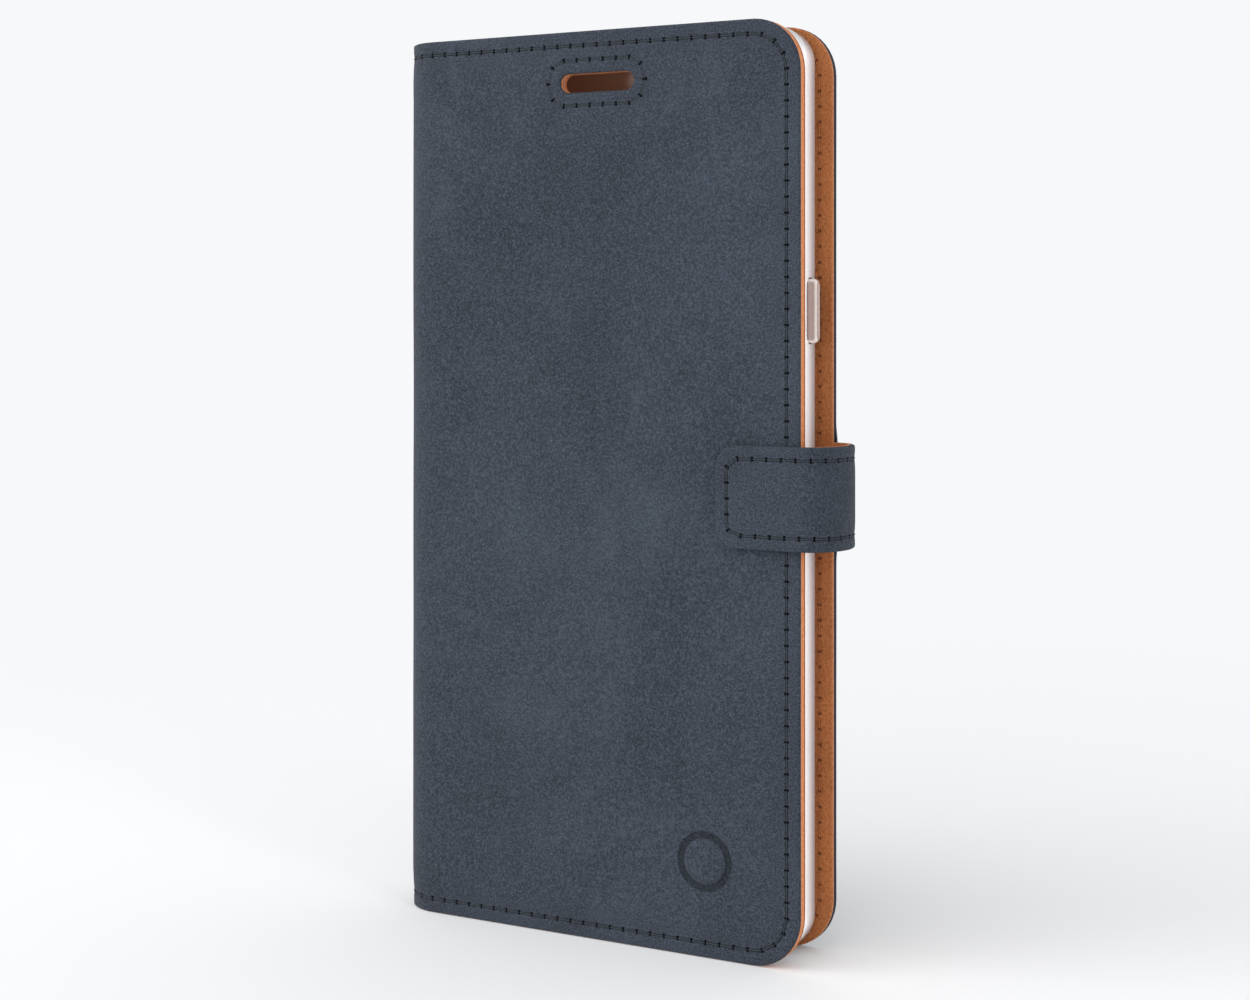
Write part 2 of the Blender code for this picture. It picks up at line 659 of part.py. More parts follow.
def strap_tip_seam(start, depth):
    """The seam along the tip's upper edge, round its end and back along its lower edge."""
    x_tip = FREE_EDGE - STRAP_OVERLAP + STRAP_SEAM_INSET
    upper = at_level(strap_line(start, math.pi, depth), STRAP_HIGH - STRAP_SEAM_INSET)
    _, y, z = upper[-1]
    for turn in spread(0.0, math.pi / 2, 3):
        x = x_tip + STRAP_SEAM_RADIUS * (1 - math.sin(turn))
        upper.append((x, y, z - STRAP_SEAM_RADIUS * (1 - math.cos(turn))))
    return upper + [(x, y, 2 * STRAP_Z - z) for x, y, z in reversed(upper)]


def make_hinges():
    """Hangs each moving group on its fold: the spine and front cover, and the strap's loop and tip."""
    spine = hinge("spine_fold_axis", spine_point(math.pi - CREASE_TURN, 0.0), None,
                  ["spine_outer_leather", "spine_lining", "spine_upper_thread", "spine_lower_thread"])
    hinge("front_cover_fold_axis", spine_point(CREASE_TURN, 0.0), spine,
          ["front_outer_leather", "front_stiffener_board", "front_lining", "front_catch_plate",
           "front_edge_needle_thread", "front_edge_bobbin_thread", "speaker_slot_thread",
           "cash_pocket_panel", "card_pocket_rear", "card_pocket_middle", "card_pocket_front",
           "card_pocket_thread"])
    loop = hinge("strap_root_bend_axis", strap_point(STRAP_CREASE_TURN, 0.0), None,
                 ["strap_loop_leather", "strap_loop_lining",
                  "strap_loop_upper_thread", "strap_loop_lower_thread"])
    hinge("strap_tip_bend_axis", strap_point(math.pi - STRAP_CREASE_TURN, 0.0), loop,
          ["strap_tip_leather", "strap_tip_lining", "strap_magnet", "strap_tip_thread"])


make_front_cover()
make_spine()
make_back_cover()
make_strap_root()
make_strap_loop()
make_strap_tip()
make_hinges()
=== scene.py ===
import json
import math

import bmesh
import bpy
import numpy as np
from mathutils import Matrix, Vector, noise
from mathutils.geometry import delaunay_2d_cdt


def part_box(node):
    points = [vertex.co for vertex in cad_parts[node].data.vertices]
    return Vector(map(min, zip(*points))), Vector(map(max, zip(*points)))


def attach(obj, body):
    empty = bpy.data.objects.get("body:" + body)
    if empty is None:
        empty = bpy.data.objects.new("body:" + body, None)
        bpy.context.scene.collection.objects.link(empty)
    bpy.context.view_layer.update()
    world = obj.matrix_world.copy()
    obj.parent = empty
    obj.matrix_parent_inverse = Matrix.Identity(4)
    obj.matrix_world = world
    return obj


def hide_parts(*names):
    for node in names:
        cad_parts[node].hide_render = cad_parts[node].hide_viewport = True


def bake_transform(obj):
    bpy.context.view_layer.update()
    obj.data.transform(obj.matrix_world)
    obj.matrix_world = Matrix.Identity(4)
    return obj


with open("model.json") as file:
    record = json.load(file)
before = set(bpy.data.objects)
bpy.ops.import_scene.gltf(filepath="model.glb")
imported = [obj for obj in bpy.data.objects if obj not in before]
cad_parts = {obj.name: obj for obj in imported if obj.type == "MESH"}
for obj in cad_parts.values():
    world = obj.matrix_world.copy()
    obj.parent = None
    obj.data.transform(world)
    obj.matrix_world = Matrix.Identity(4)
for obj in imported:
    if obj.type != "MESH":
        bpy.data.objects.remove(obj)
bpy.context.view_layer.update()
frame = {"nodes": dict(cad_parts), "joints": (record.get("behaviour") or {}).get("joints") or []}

# Lengths are in millimetres in the model's own frame, and are scaled to metres where Blender takes them.
MM = 0.001


def box_mm(node):
    """Lowest and highest corner of a CAD node, in millimetres."""
    low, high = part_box(node)
    return np.array(low) / MM, np.array(high) / MM


JOINTS = {joint["name"]: joint for joint in frame["joints"]}


def hinge_mm(name):
    return np.array(JOINTS[name]["pos_m"]) / MM


# Cover: a flat front and back joined by a half-round spine. A place on it is (s, z, depth below the face),
# where s runs from the middle of the spine, round its curve and out to the free edge.
front_low, front_high = box_mm("front_outer_leather")
FREE_EDGE = front_high[0]
TOP = front_high[2]
CASE_DEPTH = -front_low[1]
SPINE_RADIUS = CASE_DEPTH / 2
SPINE_X = hinge_mm("spine_fold")[0] + SPINE_RADIUS * math.cos(math.radians(45))
CURVE = SPINE_RADIUS * math.pi / 2
WIDTH = CURVE + FREE_EDGE - SPINE_X
CORNER = 9.5
LEATHER = 0.9

# Seams
SEAM_INSET = 2.7
SEAM_PITCH = 2.86
STITCHES_TO_MIDDLE = 59
HOLE_LENGTH = 1.0
HOLE_WIDTH = 0.42
HOLE_DEPTH = 0.45
GROOVE_HALF = 0.3
GROOVE_DEPTH = 0.12
PULL_HALF = 1.3
PULL_DEPTH = 0.08
THREAD_RADIUS = 0.15

# The seam's line: along the top, round a corner, down the free edge and back along the bottom.
RUN = WIDTH - CORNER
TURN = (CORNER - SEAM_INSET) * math.pi / 2
RISE = 2 * (TOP - CORNER)
SEAM_LENGTH = 2 * RUN + 2 * TURN + RISE

FRONT, BACK = -1, 1
OUTWARD, INWARD = 1, -1


def smooth(value, low, high):
    t = np.clip((value - low) / (high - low), 0, 1)
    return t * t * (3 - 2 * t)


# ---------------------------------------------------------------- surfaces

def cover_face(side, depth, facing):
    """A face of the front or back cover: a function from (s, z, height above the face) to points."""
    def place(s, z, height):
        radius = SPINE_RADIUS - (depth - facing * height)
        turn = np.clip(s / SPINE_RADIUS, 0, math.pi / 2)
        x = SPINE_X - radius * np.cos(turn) + np.maximum(s - CURVE, 0)
        y = -SPINE_RADIUS + side * radius * np.sin(turn)
        return np.stack([x, y, z + 0 * x], axis=1)
    place.mirrored = (side * facing) > 0
    return place


def edge_inset(s, z):
    """How far a point lies inside the cover's outline, which is open at the middle of the spine."""
    across = WIDTH - CORNER - s
    up = TOP - CORNER - np.abs(z)
    in_corner = (across < 0) & (up < 0)
    return np.where(in_corner, CORNER - np.hypot(across, up), np.minimum(WIDTH - s, TOP - np.abs(z)))


def along_outline(l, inset):
    """(s, z) at length l of the seam's line, moved to another inset from the outline."""
    half = SEAM_LENGTH / 2
    near = half - np.abs(half - l)
    turn = np.clip((near - RUN) / (CORNER - SEAM_INSET), 0, math.pi / 2)
    s = np.minimum(near, RUN) + (CORNER - inset) * np.sin(turn)
    z = TOP - CORNER + (CORNER - inset) * np.cos(turn) - np.maximum(near - RUN - TURN, 0)
    return np.stack([s, np.where(l > half, -z, z)], axis=1)


def rounded_rectangle(width, height, radius, step, centre=(0, 0)):
    """Points round a rounded rectangle, evenly spaced, anticlockwise from the middle of its right side."""
    points = []
    for i in range(4):
        turn = i * math.pi / 2
        run = (height if i % 2 == 0 else width) - 2 * radius
        reach = (width if i % 2 == 0 else height) / 2
        out = np.array([math.cos(turn), math.sin(turn)])
        side = np.array([-math.sin(turn), math.cos(turn)])
        for t in np.linspace(-0.5, 0.5, max(1, round(run / step)) + 1)[:-1]:
            points.append(out * reach + side * t * run)
        corner = out * (reach - radius) + side * run / 2
        for a in np.linspace(0, math.pi / 2, max(3, round(radius * math.pi / 2 / step)) + 1)[:-1]:
            points.append(corner + radius * (out * math.cos(a) + side * math.sin(a)))
    return np.array(points) + np.array(centre)


def running_length(line):
    """The length along a line up to each of its points."""
    return np.concatenate([[0], np.cumsum(np.linalg.norm(np.diff(line, axis=0), axis=1))])


def points_at(line, length, at):
    """Points of a line at some lengths along it."""
    return np.stack([np.interp(at, length, line[:, 0]), np.interp(at, length, line[:, 1])], axis=1)


def evenly(points, pitch, closed=True):
    """Marks at equal spacing along a line of points."""
    line = np.vstack([points, points[:1]]) if closed else points
    length = running_length(line)
    count = max(3, round(length[-1] / pitch))
    return points_at(line, length, (np.arange(count) + 0.5) * length[-1] / count)


def segment_distance(points, starts, stops):
    """Distance from each point to the nearest of some straight segments."""
    best = np.full(len(points), np.inf)
    for a, b in zip(starts, stops):
        d = b - a
        t = np.clip(((points - a) @ d) / max(d @ d, 1e-12), 0, 1)
        best = np.minimum(best, np.linalg.norm(points - a - t[:, None] * d, axis=1))
    return best


def loop_distance(points, loop):
    """Distance from each point to a closed loop."""
    return segment_distance(points, loop, np.roll(loop, -1, axis=0))


# Mesh points round a needle hole, as shares of its half size, and beside a stitch, as distances from its line
HOLE_SHARES = (0.0, 0.7, 1.02)
HOLE_ROWS = (-1, -0.45, 0.45, 1)
GROOVE_OFFSETS = (0, 0.17, 0.26, 0.36, 0.6)
GROOVE_END = 0.32
GROOVE_STEP = 0.75


class Seam:
    """A row of saddle stitches: needle holes joined by straight stitches that lie in a groove."""

    def __init__(self, marks, closed=False, ends=None):
        self.marks = np.array(marks, float)
        starts, stops = self.marks[:-1], self.marks[1:]
        if closed:
            starts, stops = self.marks, np.roll(self.marks, -1, axis=0)
        if ends is not None:
            starts = np.vstack([ends[0], starts, self.marks[-1]])
            stops = np.vstack([self.marks[0], stops, ends[1]])
        self.starts, self.stops = starts, stops
        self.open_ends = ends is not None
        before, after = np.roll(self.marks, 1, axis=0), np.roll(self.marks, -1, axis=0)
        if not closed:
            before[0] = 2 * self.marks[0] - self.marks[1]
            after[-1] = 2 * self.marks[-1] - self.marks[-2]
        along = after - before
        self.along = along / np.linalg.norm(along, axis=1)[:, None]

    def groove(self, points):
        """Distance from each point to the nearest stitch."""
        return segment_distance(points, self.starts, self.stops)

    def hole(self, points):
        """0 outside the needle holes, rising to 1 inside."""
        inside = np.zeros(len(points))
        for mark, along in zip(self.marks, self.along):
            offset = points - mark
            near = np.abs(offset).max(axis=1) < HOLE_LENGTH
            if not near.any():
                continue
            across = np.array([-along[1], along[0]])
            u = np.abs(offset[near] @ along) / (HOLE_WIDTH / 2)
            v = np.abs(offset[near] @ across) / (HOLE_LENGTH / 2)
            inside[near] = np.maximum(inside[near], 1 - smooth(np.maximum(u, v), 0.72, 1.0))
        return inside

    def points(self):
        """Mesh points that a groove and its holes need."""
        found = []
        for mark, along in zip(self.marks, self.along):
            across = np.array([-along[1], along[0]])
            for share in HOLE_SHARES:
                for u in (-1, 1):
                    for v in HOLE_ROWS:
                        found.append(mark + share * (u * along * HOLE_WIDTH + v * across * HOLE_LENGTH) / 2)
        for a, b in zip(self.starts, self.stops):
            length = np.linalg.norm(b - a)
            along = (b - a) / length
            across = np.array([-along[1], along[0]])
            for t in np.linspace(GROOVE_END, length - GROOVE_END, max(2, round(length / GROOVE_STEP))):
                for offset in GROOVE_OFFSETS:
                    found.append(a + along * t + across * offset)
                    found.append(a + along * t - across * offset)
        return np.array(found)


def scatter(groups, fixed):
    """Points from groups of (points, smallest gap), in order, each kept only where there is still room."""
    cell = 1.0
    kept, grid = [], {}

    def key(p):
        return int(math.floor(p[0] / cell)), int(math.floor(p[1] / cell))

    for p in fixed:
        grid.setdefault(key(p), []).append(p)
    for points, gap in groups:
        reach = int(math.ceil(gap / cell))
        for p in points:
            kx, kz = key(p)
            near = [q for i in range(-reach, reach + 1) for j in range(-reach, reach + 1)
                    for q in grid.get((kx + i, kz + j), ())]
            if all((p[0] - q[0]) ** 2 + (p[1] - q[1]) ** 2 >= gap * gap for q in near):
                kept.append(p)
                grid.setdefault((kx, kz), []).append(p)
    return kept


def inside_loop(points, loop):
    """Which points lie inside a closed loop."""
    inside = np.zeros(len(points), bool)
    x, z = points[:, 0], points[:, 1]
    for a, b in zip(loop, np.roll(loop, -1, axis=0)):
        if a[1] == b[1]:
            continue
        crosses = (a[1] > z) != (b[1] > z)
        at = a[0] + (z - a[1]) * (b[0] - a[0]) / (b[1] - a[1])
        inside ^= crosses & (x < at)
    return inside


def flat_mesh(outline, holes, groups):
    """Triangles that fill an outline less its holes, through the given points."""
    loops = [np.array(loop, float) for loop in [outline] + holes]
    fixed = np.vstack(loops)
    inner = np.array(scatter(groups, fixed)).reshape(-1, 2)
    keep = inside_loop(inner, loops[0])
    for loop in loops[1:]:
        keep &= ~inside_loop(inner, loop)
    points = np.vstack([fixed, inner[keep]])
    edges, start = [], 0
    for loop in loops:
        n = len(loop)
        edges += [(start + i, start + (i + 1) % n) for i in range(n)]
        start += n
    made = delaunay_2d_cdt([Vector(p) for p in points], edges, [], 0, 1e-6)
    vertices = np.array([tuple(v) for v in made[0]])
    faces = np.array([tuple(f) for f in made[2] if len(f) == 3])
    centres = vertices[faces].mean(axis=1)
    keep = inside_loop(centres, loops[0])
    for loop in loops[1:]:
        keep &= ~inside_loop(centres, loop)
    faces = faces[keep]
    a, b, c = (vertices[faces[:, i]] for i in range(3))
    area = (b - a)[:, 0] * (c - a)[:, 1] - (b - a)[:, 1] * (c - a)[:, 0]
    faces[area < 0] = faces[area < 0][:, ::-1]
    used = np.unique(faces)
    index = np.full(len(vertices), -1)
    index[used] = np.arange(len(used))
    return vertices[used], index[faces]


def border_edges(faces):
    """Directed edges that belong to one face only."""
    count = {}
    for f in faces:
        for a, b in ((f[0], f[1]), (f[1], f[2]), (f[2], f[0])):
            count[(a, b)] = True
    return [(a, b) for a, b in count if (b, a) not in count]


# ---------------------------------------------------------------- mesh objects

def add_object(name, data):
    """A new object in the scene."""
    obj = bpy.data.objects.new(name, data)
    bpy.context.scene.collection.objects.link(obj)
    return obj


def make_object(name, vertices, faces, materials, face_materials=None, shade_and_mark=None, smooth_angle=40):
    """A mesh object from points in millimetres. It keeps each point's place at rest for the textures."""
    mesh = bpy.data.meshes.new(name)
    mesh.from_pydata([tuple(p) for p in np.asarray(vertices) * MM], [], [tuple(map(int, f)) for f in faces])
    for material in materials:
        mesh.materials.append(material)
    if face_materials is not None:
        mesh.polygons.foreach_set("material_index", np.asarray(face_materials, np.int32))
    rest = mesh.attributes.new("rest", "FLOAT_VECTOR", "POINT")
    rest.data.foreach_set("vector", np.asarray(vertices, np.float32).ravel())
    # Per point darkening: painted shade in seam holes and grooves, and the pressed ring's darker leather
    dark = mesh.attributes.new("shade_and_mark", "FLOAT", "POINT")
    if shade_and_mark is not None:
        dark.data.foreach_set("value", np.asarray(shade_and_mark, np.float32))
    mesh.shade_smooth()
    mesh.set_sharp_from_angle(angle=math.radians(smooth_angle))
    mesh.update()
    return add_object(name, mesh)


# Material slots of a sheet
SKIN_SLOT, EDGE_SLOT, NAVY_EDGE_SLOT = 0, 1, 2


def sheet(name, place, outline, holes, groups, thickness, relief, shade_and_mark, skin, edge, lift=None, navy_edge_where=None):
    """A closed sheet of leather: a face with relief, cut edges, and a plain hidden side. The edge takes the
    navy cut-edge colour wherever the given test of (s, lower half) says so; on the strap's lining that navy
    is painted shade."""
    flat, faces = flat_mesh(outline, holes, groups)
    s, z = flat[:, 0], flat[:, 1]
    raised = lift(s, z) if lift else np.zeros(len(flat))
    face = place(s, z, relief(s, z) + raised)
    hidden = place(s, z, raised - thickness)
    n = len(flat)
    border = border_edges(faces)
    rim = sorted({a for a, b in border})
    where = {v: 2 * n + i for i, v in enumerate(rim)}
    points = np.vstack([face, hidden, place(s[rim], z[rim], raised[rim] - thickness / 2)])
    triangles = [tuple(f) for f in faces] + [tuple(f[::-1] + n) for f in faces]
    sides, side_kinds = [], []
    for a, b in border:
        sides.append((b, a, where[a], where[b]))
        sides.append((where[b], where[a], a + n, b + n))
        for lower in (False, True):
            if s[a] < 1e-6 and s[b] < 1e-6:
                side_kinds.append(SKIN_SLOT)
            elif navy_edge_where and navy_edge_where(s[a], lower):
                side_kinds.append(NAVY_EDGE_SLOT)
            else:
                side_kinds.append(EDGE_SLOT)
    everything = triangles + sides
    if place.mirrored:
        everything = [f[::-1] for f in everything]
    kinds = [SKIN_SLOT] * len(triangles) + side_kinds
    # The face carries the painted shade of its seams (and the pressed ring's darkening); the edges and hidden
    # side carry none
    shade_and_mark_values = np.concatenate([shade_and_mark(s, z), np.zeros(n + len(rim))])
    return make_object(name, points, everything, [skin, edge, NAVY_EDGE], kinds, shade_and_mark_values)


# How a strand dives into a needle hole: (distance from the hole, height, share of its radius)
STITCH_DIVE = ((0.09, -0.42, 0.7), (0.17, -0.16, 0.85))
STITCH_SHOULDER = 0.34
STITCH_LEVEL = 0.6
STITCH_SIDES = 8


def stitches(name, place, seam, material, height=-0.1, radius=THREAD_RADIUS):
    """The visible stitches of a seam: short strands that dive into the needle holes at both ends."""
    sides = STITCH_SIDES
    turn = np.arange(sides) * 2 * math.pi / sides
    vertices, faces = [], []
    last = len(seam.starts) - 1
    for i, (a, b) in enumerate(zip(seam.starts, seam.stops)):
        length = np.linalg.norm(b - a)
        along = (b - a) / length
        across = np.array([-along[1], along[0]])
        dive = [*STITCH_DIVE, (STITCH_SHOULDER, height - 0.02, 0.95)]
        level = [(t, height, 1.0) for t in np.linspace(STITCH_LEVEL, length - STITCH_LEVEL, 4)]
        stations = dive + level + [(length - t, h, k) for t, h, k in reversed(dive)]
        if seam.open_ends and i == 0:
            stations = [(0.0, height, 1.0)] + [x for x in stations if x[0] > 0.4]
        if seam.open_ends and i == last:
            stations = [x for x in stations if x[0] < length - 0.4] + [(length, height, 1.0)]
        base = len(vertices)
        for t, h, k in stations:
            flat = a + along * t + np.outer(np.cos(turn) * radius * k, across)
            vertices.extend(np.column_stack([flat, h + np.sin(turn) * radius * k * 0.85]))
        for j in range(len(stations) - 1):
            for k in range(sides):
                p, q = base + j * sides + k, base + j * sides + (k + 1) % sides
                faces.append((p, q, q + sides, p + sides))
        faces.append(tuple(base + k for k in reversed(range(sides))))
        faces.append(tuple(base + (len(stations) - 1) * sides + k for k in range(sides)))
    v = np.array(vertices)
    points = place(v[:, 0], v[:, 1], v[:, 2])
    if not place.mirrored:
        faces = [f[::-1] for f in faces]
    return make_object(name, points, faces, [material], smooth_angle=60)


# ---------------------------------------------------------------- materials

class Graph:
    """A material's node tree, with short ways to add the nodes that this scene needs."""

    def __init__(self, name, **settings):
        self.material = bpy.data.materials.new(name)
        self.material.use_nodes = True
        self.tree = self.material.node_tree
        self.tree.nodes.clear()
        self.shader = self.tree.nodes.new("ShaderNodeBsdfPrincipled")
        self.output = self.tree.nodes.new("ShaderNodeOutputMaterial")
        self.tree.links.new(self.shader.outputs[0], self.output.inputs[0])
        for key, value in settings.items():
            self.shader.inputs[key.replace("_", " ")].default_value = value

    def node(self, kind, inputs=(), **settings):
        node = self.tree.nodes.new(kind)
        for key, value in settings.items():
            setattr(node, key, value)
        for socket, value in dict(inputs).items():
            if isinstance(value, bpy.types.NodeSocket):
                self.tree.links.new(value, node.inputs[socket])
            else:
                node.inputs[socket].default_value = value
        return node

    def rest(self):
        return self.node("ShaderNodeAttribute", attribute_name="rest").outputs["Vector"]

    # The per point painted shade of seams, with the pressed ring's darkening
    def shade_and_mark(self):
        return self.node("ShaderNodeAttribute", attribute_name="shade_and_mark").outputs["Fac"]

    def stretched(self, vector, scale, turn=(0, 0, 0)):
        return self.node("ShaderNodeMapping", {0: vector, 2: turn, 3: scale}).outputs[0]

    def noise(self, vector, scale, detail=2.0, roughness=0.5, distortion=0.0):
        inputs = {"Vector": vector, "Scale": scale, "Detail": detail, "Roughness": roughness,
                  "Distortion": distortion}
        return self.node("ShaderNodeTexNoise", inputs).outputs[0]

    def cells(self, vector, scale):
        return self.node("ShaderNodeTexVoronoi", {"Vector": vector, "Scale": scale}).outputs[0]

    def span(self, value, low, high, out_low=0.0, out_high=1.0):
        inputs = {0: value, 1: low, 2: high, 3: out_low, 4: out_high}
        return self.node("ShaderNodeMapRange", inputs).outputs[0]

    def math(self, operation, a, b=0.0):
        return self.node("ShaderNodeMath", {0: a, 1: b}, operation=operation).outputs[0]

    def mix(self, share, a, b, blend="MIX"):
        inputs = {0: share, 6: a, 7: b}
        return self.node("ShaderNodeMix", inputs, data_type="RGBA", blend_type=blend).outputs[2]

    def bump(self, height, distance, strength=1.0, normal=None):
        inputs = {"Height": height, "Distance": distance * MM, "Strength": strength}
        if normal is not None:
            inputs["Normal"] = normal
        return self.node("ShaderNodeBump", inputs).outputs[0]

    def set(self, **inputs):
        for key, value in inputs.items():
            socket = self.shader.inputs[key.replace("_", " ")]
            if isinstance(value, bpy.types.NodeSocket):
                self.tree.links.new(value, socket)
            else:
                socket.default_value = value


def linear(red, green, blue):
    """A colour given as 0-255 screen values."""
    def one(v):
        v /= 255
        return v / 12.92 if v <= 0.04045 else ((v + 0.055) / 1.055) ** 2.4
    return one(red), one(green), one(blue), 1.0


def navy_nubuck():
    g = Graph("navy_nubuck", Roughness=0.92)
    at = g.rest()
    cloud = g.span(g.noise(at, 0.022, 4.0, 0.58, 0.8), 0.36, 0.66)
    patch = g.span(g.noise(at, 0.10, 4.0, 0.6, 0.4), 0.40, 0.66)
    colour = g.mix(cloud, linear(41, 46, 55), linear(56, 63, 73))
    colour = g.mix(g.math("MULTIPLY", patch, 0.4), colour, linear(46, 49, 56))
    grain = g.noise(at, 2.9, 4.0, 0.72)
    colour = g.mix(g.span(grain, 0.46, 0.72, 0.0, 0.72), colour, linear(86, 96, 111))
    colour = g.mix(g.span(grain, 0.50, 0.28, 0.0, 0.62), colour, linear(24, 26, 32))
    fleck = g.noise(at, 1.6, 2.0, 0.6)
    colour = g.mix(g.span(fleck, 0.64, 0.78, 0.0, 0.4), colour, linear(84, 100, 124))
    scuff = g.noise(g.stretched(at, (0.05, 0.05, 0.016), (0.0, 0.5, 0.0)), 1.0, 5.0, 0.62, 1.2)
    colour = g.mix(g.span(scuff, 0.58, 0.76, 0.0, 0.30), colour, linear(86, 93, 104))
    # Painted shade: near black in needle holes and along stitch grooves; the pressed ring is darker too
    colour = g.mix(g.shade_and_mark(), colour, linear(7, 7, 10))
    fine = g.bump(g.noise(at, 4.2, 3.0, 0.7), 0.05, 0.5)
    normal = g.bump(g.noise(at, 1.0, 3.0, 0.6), 0.08, 0.3, fine)
    g.set(Base_Color=colour, Normal=normal, Sheen_Weight=0.05, Sheen_Roughness=0.6, Specular_IOR_Level=0.16)
    g.set(Roughness=g.span(grain, 0.3, 0.7, 0.96, 0.82))
    return g.material


def tan_nubuck():
    g = Graph("tan_nubuck", Roughness=0.85)
    at = g.rest()
    cloud = g.span(g.noise(at, 0.05, 4.0, 0.55, 0.4), 0.3, 0.7)
    colour = g.mix(cloud, linear(147, 85, 42), linear(172, 104, 56))
    grain = g.noise(at, 2.2, 3.0, 0.65)
    colour = g.mix(g.span(grain, 0.35, 0.7, 0.0, 0.5), colour, linear(204, 134, 82))
    colour = g.mix(g.span(grain, 0.5, 0.28, 0.0, 0.5), colour, linear(122, 66, 30))
    pore = g.cells(at, 0.55)
    size = g.noise(at, 0.3, 1.0)
    speck = g.math("MULTIPLY", g.span(pore, 0.20, 0.10), g.span(size, 0.50, 0.62))
    colour = g.mix(g.math("MULTIPLY", speck, 0.6), colour, linear(96, 50, 22))
    # Painted shade in needle holes and stitch grooves
    colour = g.mix(g.math("MULTIPLY", g.shade_and_mark(), 0.72), colour, linear(52, 26, 12))
    normal = g.bump(g.noise(at, 3.0, 3.0, 0.7), 0.05, 0.5)
    g.set(Base_Color=colour, Normal=normal, Sheen_Weight=0.1, Specular_IOR_Level=0.3)
    g.set(Roughness=g.span(grain, 0.3, 0.7, 0.9, 0.72))
    return g.material


def cut_edge(name, dark, light):
    """The fibrous cut edge of a leather sheet."""
    g = Graph(name, Roughness=0.8)
    at = g.rest()
    fibre = g.noise(at, 1.6, 4.0, 0.7)
    colour = g.mix(g.span(fibre, 0.3, 0.7), linear(*dark), linear(*light))
    long = g.noise(g.stretched(at, (0.5, 3.0, 0.5)), 1.0, 2.0)
    colour = g.mix(g.span(long, 0.4, 0.7, 0.0, 0.35), colour, linear(*light))
    g.set(Base_Color=colour, Normal=g.bump(fibre, 0.08, 0.6), Specular_IOR_Level=0.3)
    return g.material


def thread(name, dark, light):
    """Waxed sewing thread with its twist."""
    g = Graph(name, Roughness=0.6)
    at = g.rest()
    ply = g.node("ShaderNodeTexWave", {"Vector": at, "Scale": 1.1, "Distortion": 1.5, "Detail": 1.0},
                 bands_direction="DIAGONAL").outputs["Fac"]
    colour = g.mix(ply, linear(*dark), linear(*light))
    g.set(Base_Color=colour, Normal=g.bump(ply, 0.05, 0.7), Specular_IOR_Level=0.35)
    return g.material


# A painted highlight: a glowing line along a pad, at a share of the tray's depth from its rim, and where it
# starts and stops fading
GLEAM_DEPTH = 0.635
GLEAM_HALF = (0.025, 0.055)


def clear_tpu(name, glow, painted_see_through, gleam=0.0):
    """Clear moulding with painted light: a painted glow towards its rim, painted shade towards its back and
    on faces that look up or down, and the tan leather behind it painted in where it would be seen through.
    """
    g = Graph(name, IOR=1.5)
    at = g.node("ShaderNodeTexCoord").outputs["Object"]
    low, high = box_mm("phone_tray")
    y = g.node("ShaderNodeSeparateXYZ", {0: at}).outputs[1]
    depth = g.span(y, low[1] * MM, high[1] * MM)
    haze = g.noise(at, 160.0, 3.0, 0.6)
    colour = g.mix(haze, linear(240, 240, 244), linear(252, 252, 254))
    normal = g.node("ShaderNodeNewGeometry").outputs["Normal"]
    facing = g.node("ShaderNodeSeparateXYZ", {0: normal}).outputs
    upright = g.math("ABSOLUTE", facing[2])
    flat_on = g.math("ABSOLUTE", facing[1])
    # Painted shade: greyer towards the back of the wall
    colour = g.mix(g.span(depth, 0.5, 0.8), colour, linear(222, 216, 220))
    # Painted see-through: the tan lining behind the back of the wall
    colour = g.mix(g.span(depth, 0.82, 1.0, 0.0, 0.8), colour, linear(188, 152, 128))
    # Painted shade on faces that look up or down
    colour = g.mix(g.span(upright, 0.25, 0.9, 0.0, 0.6), colour, linear(122, 122, 126))
    # Painted see-through: the tan lining under the tray's floor
    floor = g.math("MULTIPLY", g.span(flat_on, 0.6, 0.9), g.span(depth, 0.8, 0.9))
    colour = g.mix(g.math("MULTIPLY", floor, 0.75), colour, linear(204, 148, 108))
    # Painted see-through: tan seen through a pad, by the given share
    colour = g.mix(painted_see_through, colour, linear(190, 158, 140))
    # Painted glow: emission, strongest towards the rim and weaker on faces that look up, down or back
    shine = g.math("MULTIPLY", g.span(depth, 0.45, 1.0, glow, 0.03), g.span(upright, 0.2, 0.8, 1.0, 0.1))
    shine = g.math("MULTIPLY", shine, g.span(flat_on, 0.3, 0.8, 1.0, 0.0))
    g.set(Base_Color=colour, Transmission_Weight=0.3, Roughness=g.span(haze, 0.3, 0.7, 0.10, 0.18))
    # Painted highlight: an emitted bright line along the pad
    if gleam:
        off = g.math("ABSOLUTE", g.math("SUBTRACT", depth, GLEAM_DEPTH))
        shine = g.math("ADD", shine, g.span(off, *GLEAM_HALF, gleam, 0.0))
    g.set(Emission_Color=(1, 1, 1, 1), Emission_Strength=shine)
    g.set(Normal=g.bump(g.noise(at, 420.0, 2.0), 0.02, 0.2), Specular_IOR_Level=0.8, Coat_Weight=0.4,
          Coat_Roughness=0.06)
    return g.material


def hidden_material(name, colour, roughness, metallic=0.0):
    """Boards, film and steel that lie inside the covers."""
    g = Graph(name, Roughness=roughness, Metallic=metallic)
    at = g.node("ShaderNodeTexCoord").outputs["Object"]
    fibre = g.noise(at, 900.0, 3.0, 0.6)
    g.set(Base_Color=g.mix(fibre, linear(*[c * 0.85 for c in colour]), linear(*colour)))
    g.set(Normal=g.bump(fibre, 0.03, 0.4))
    return g.material


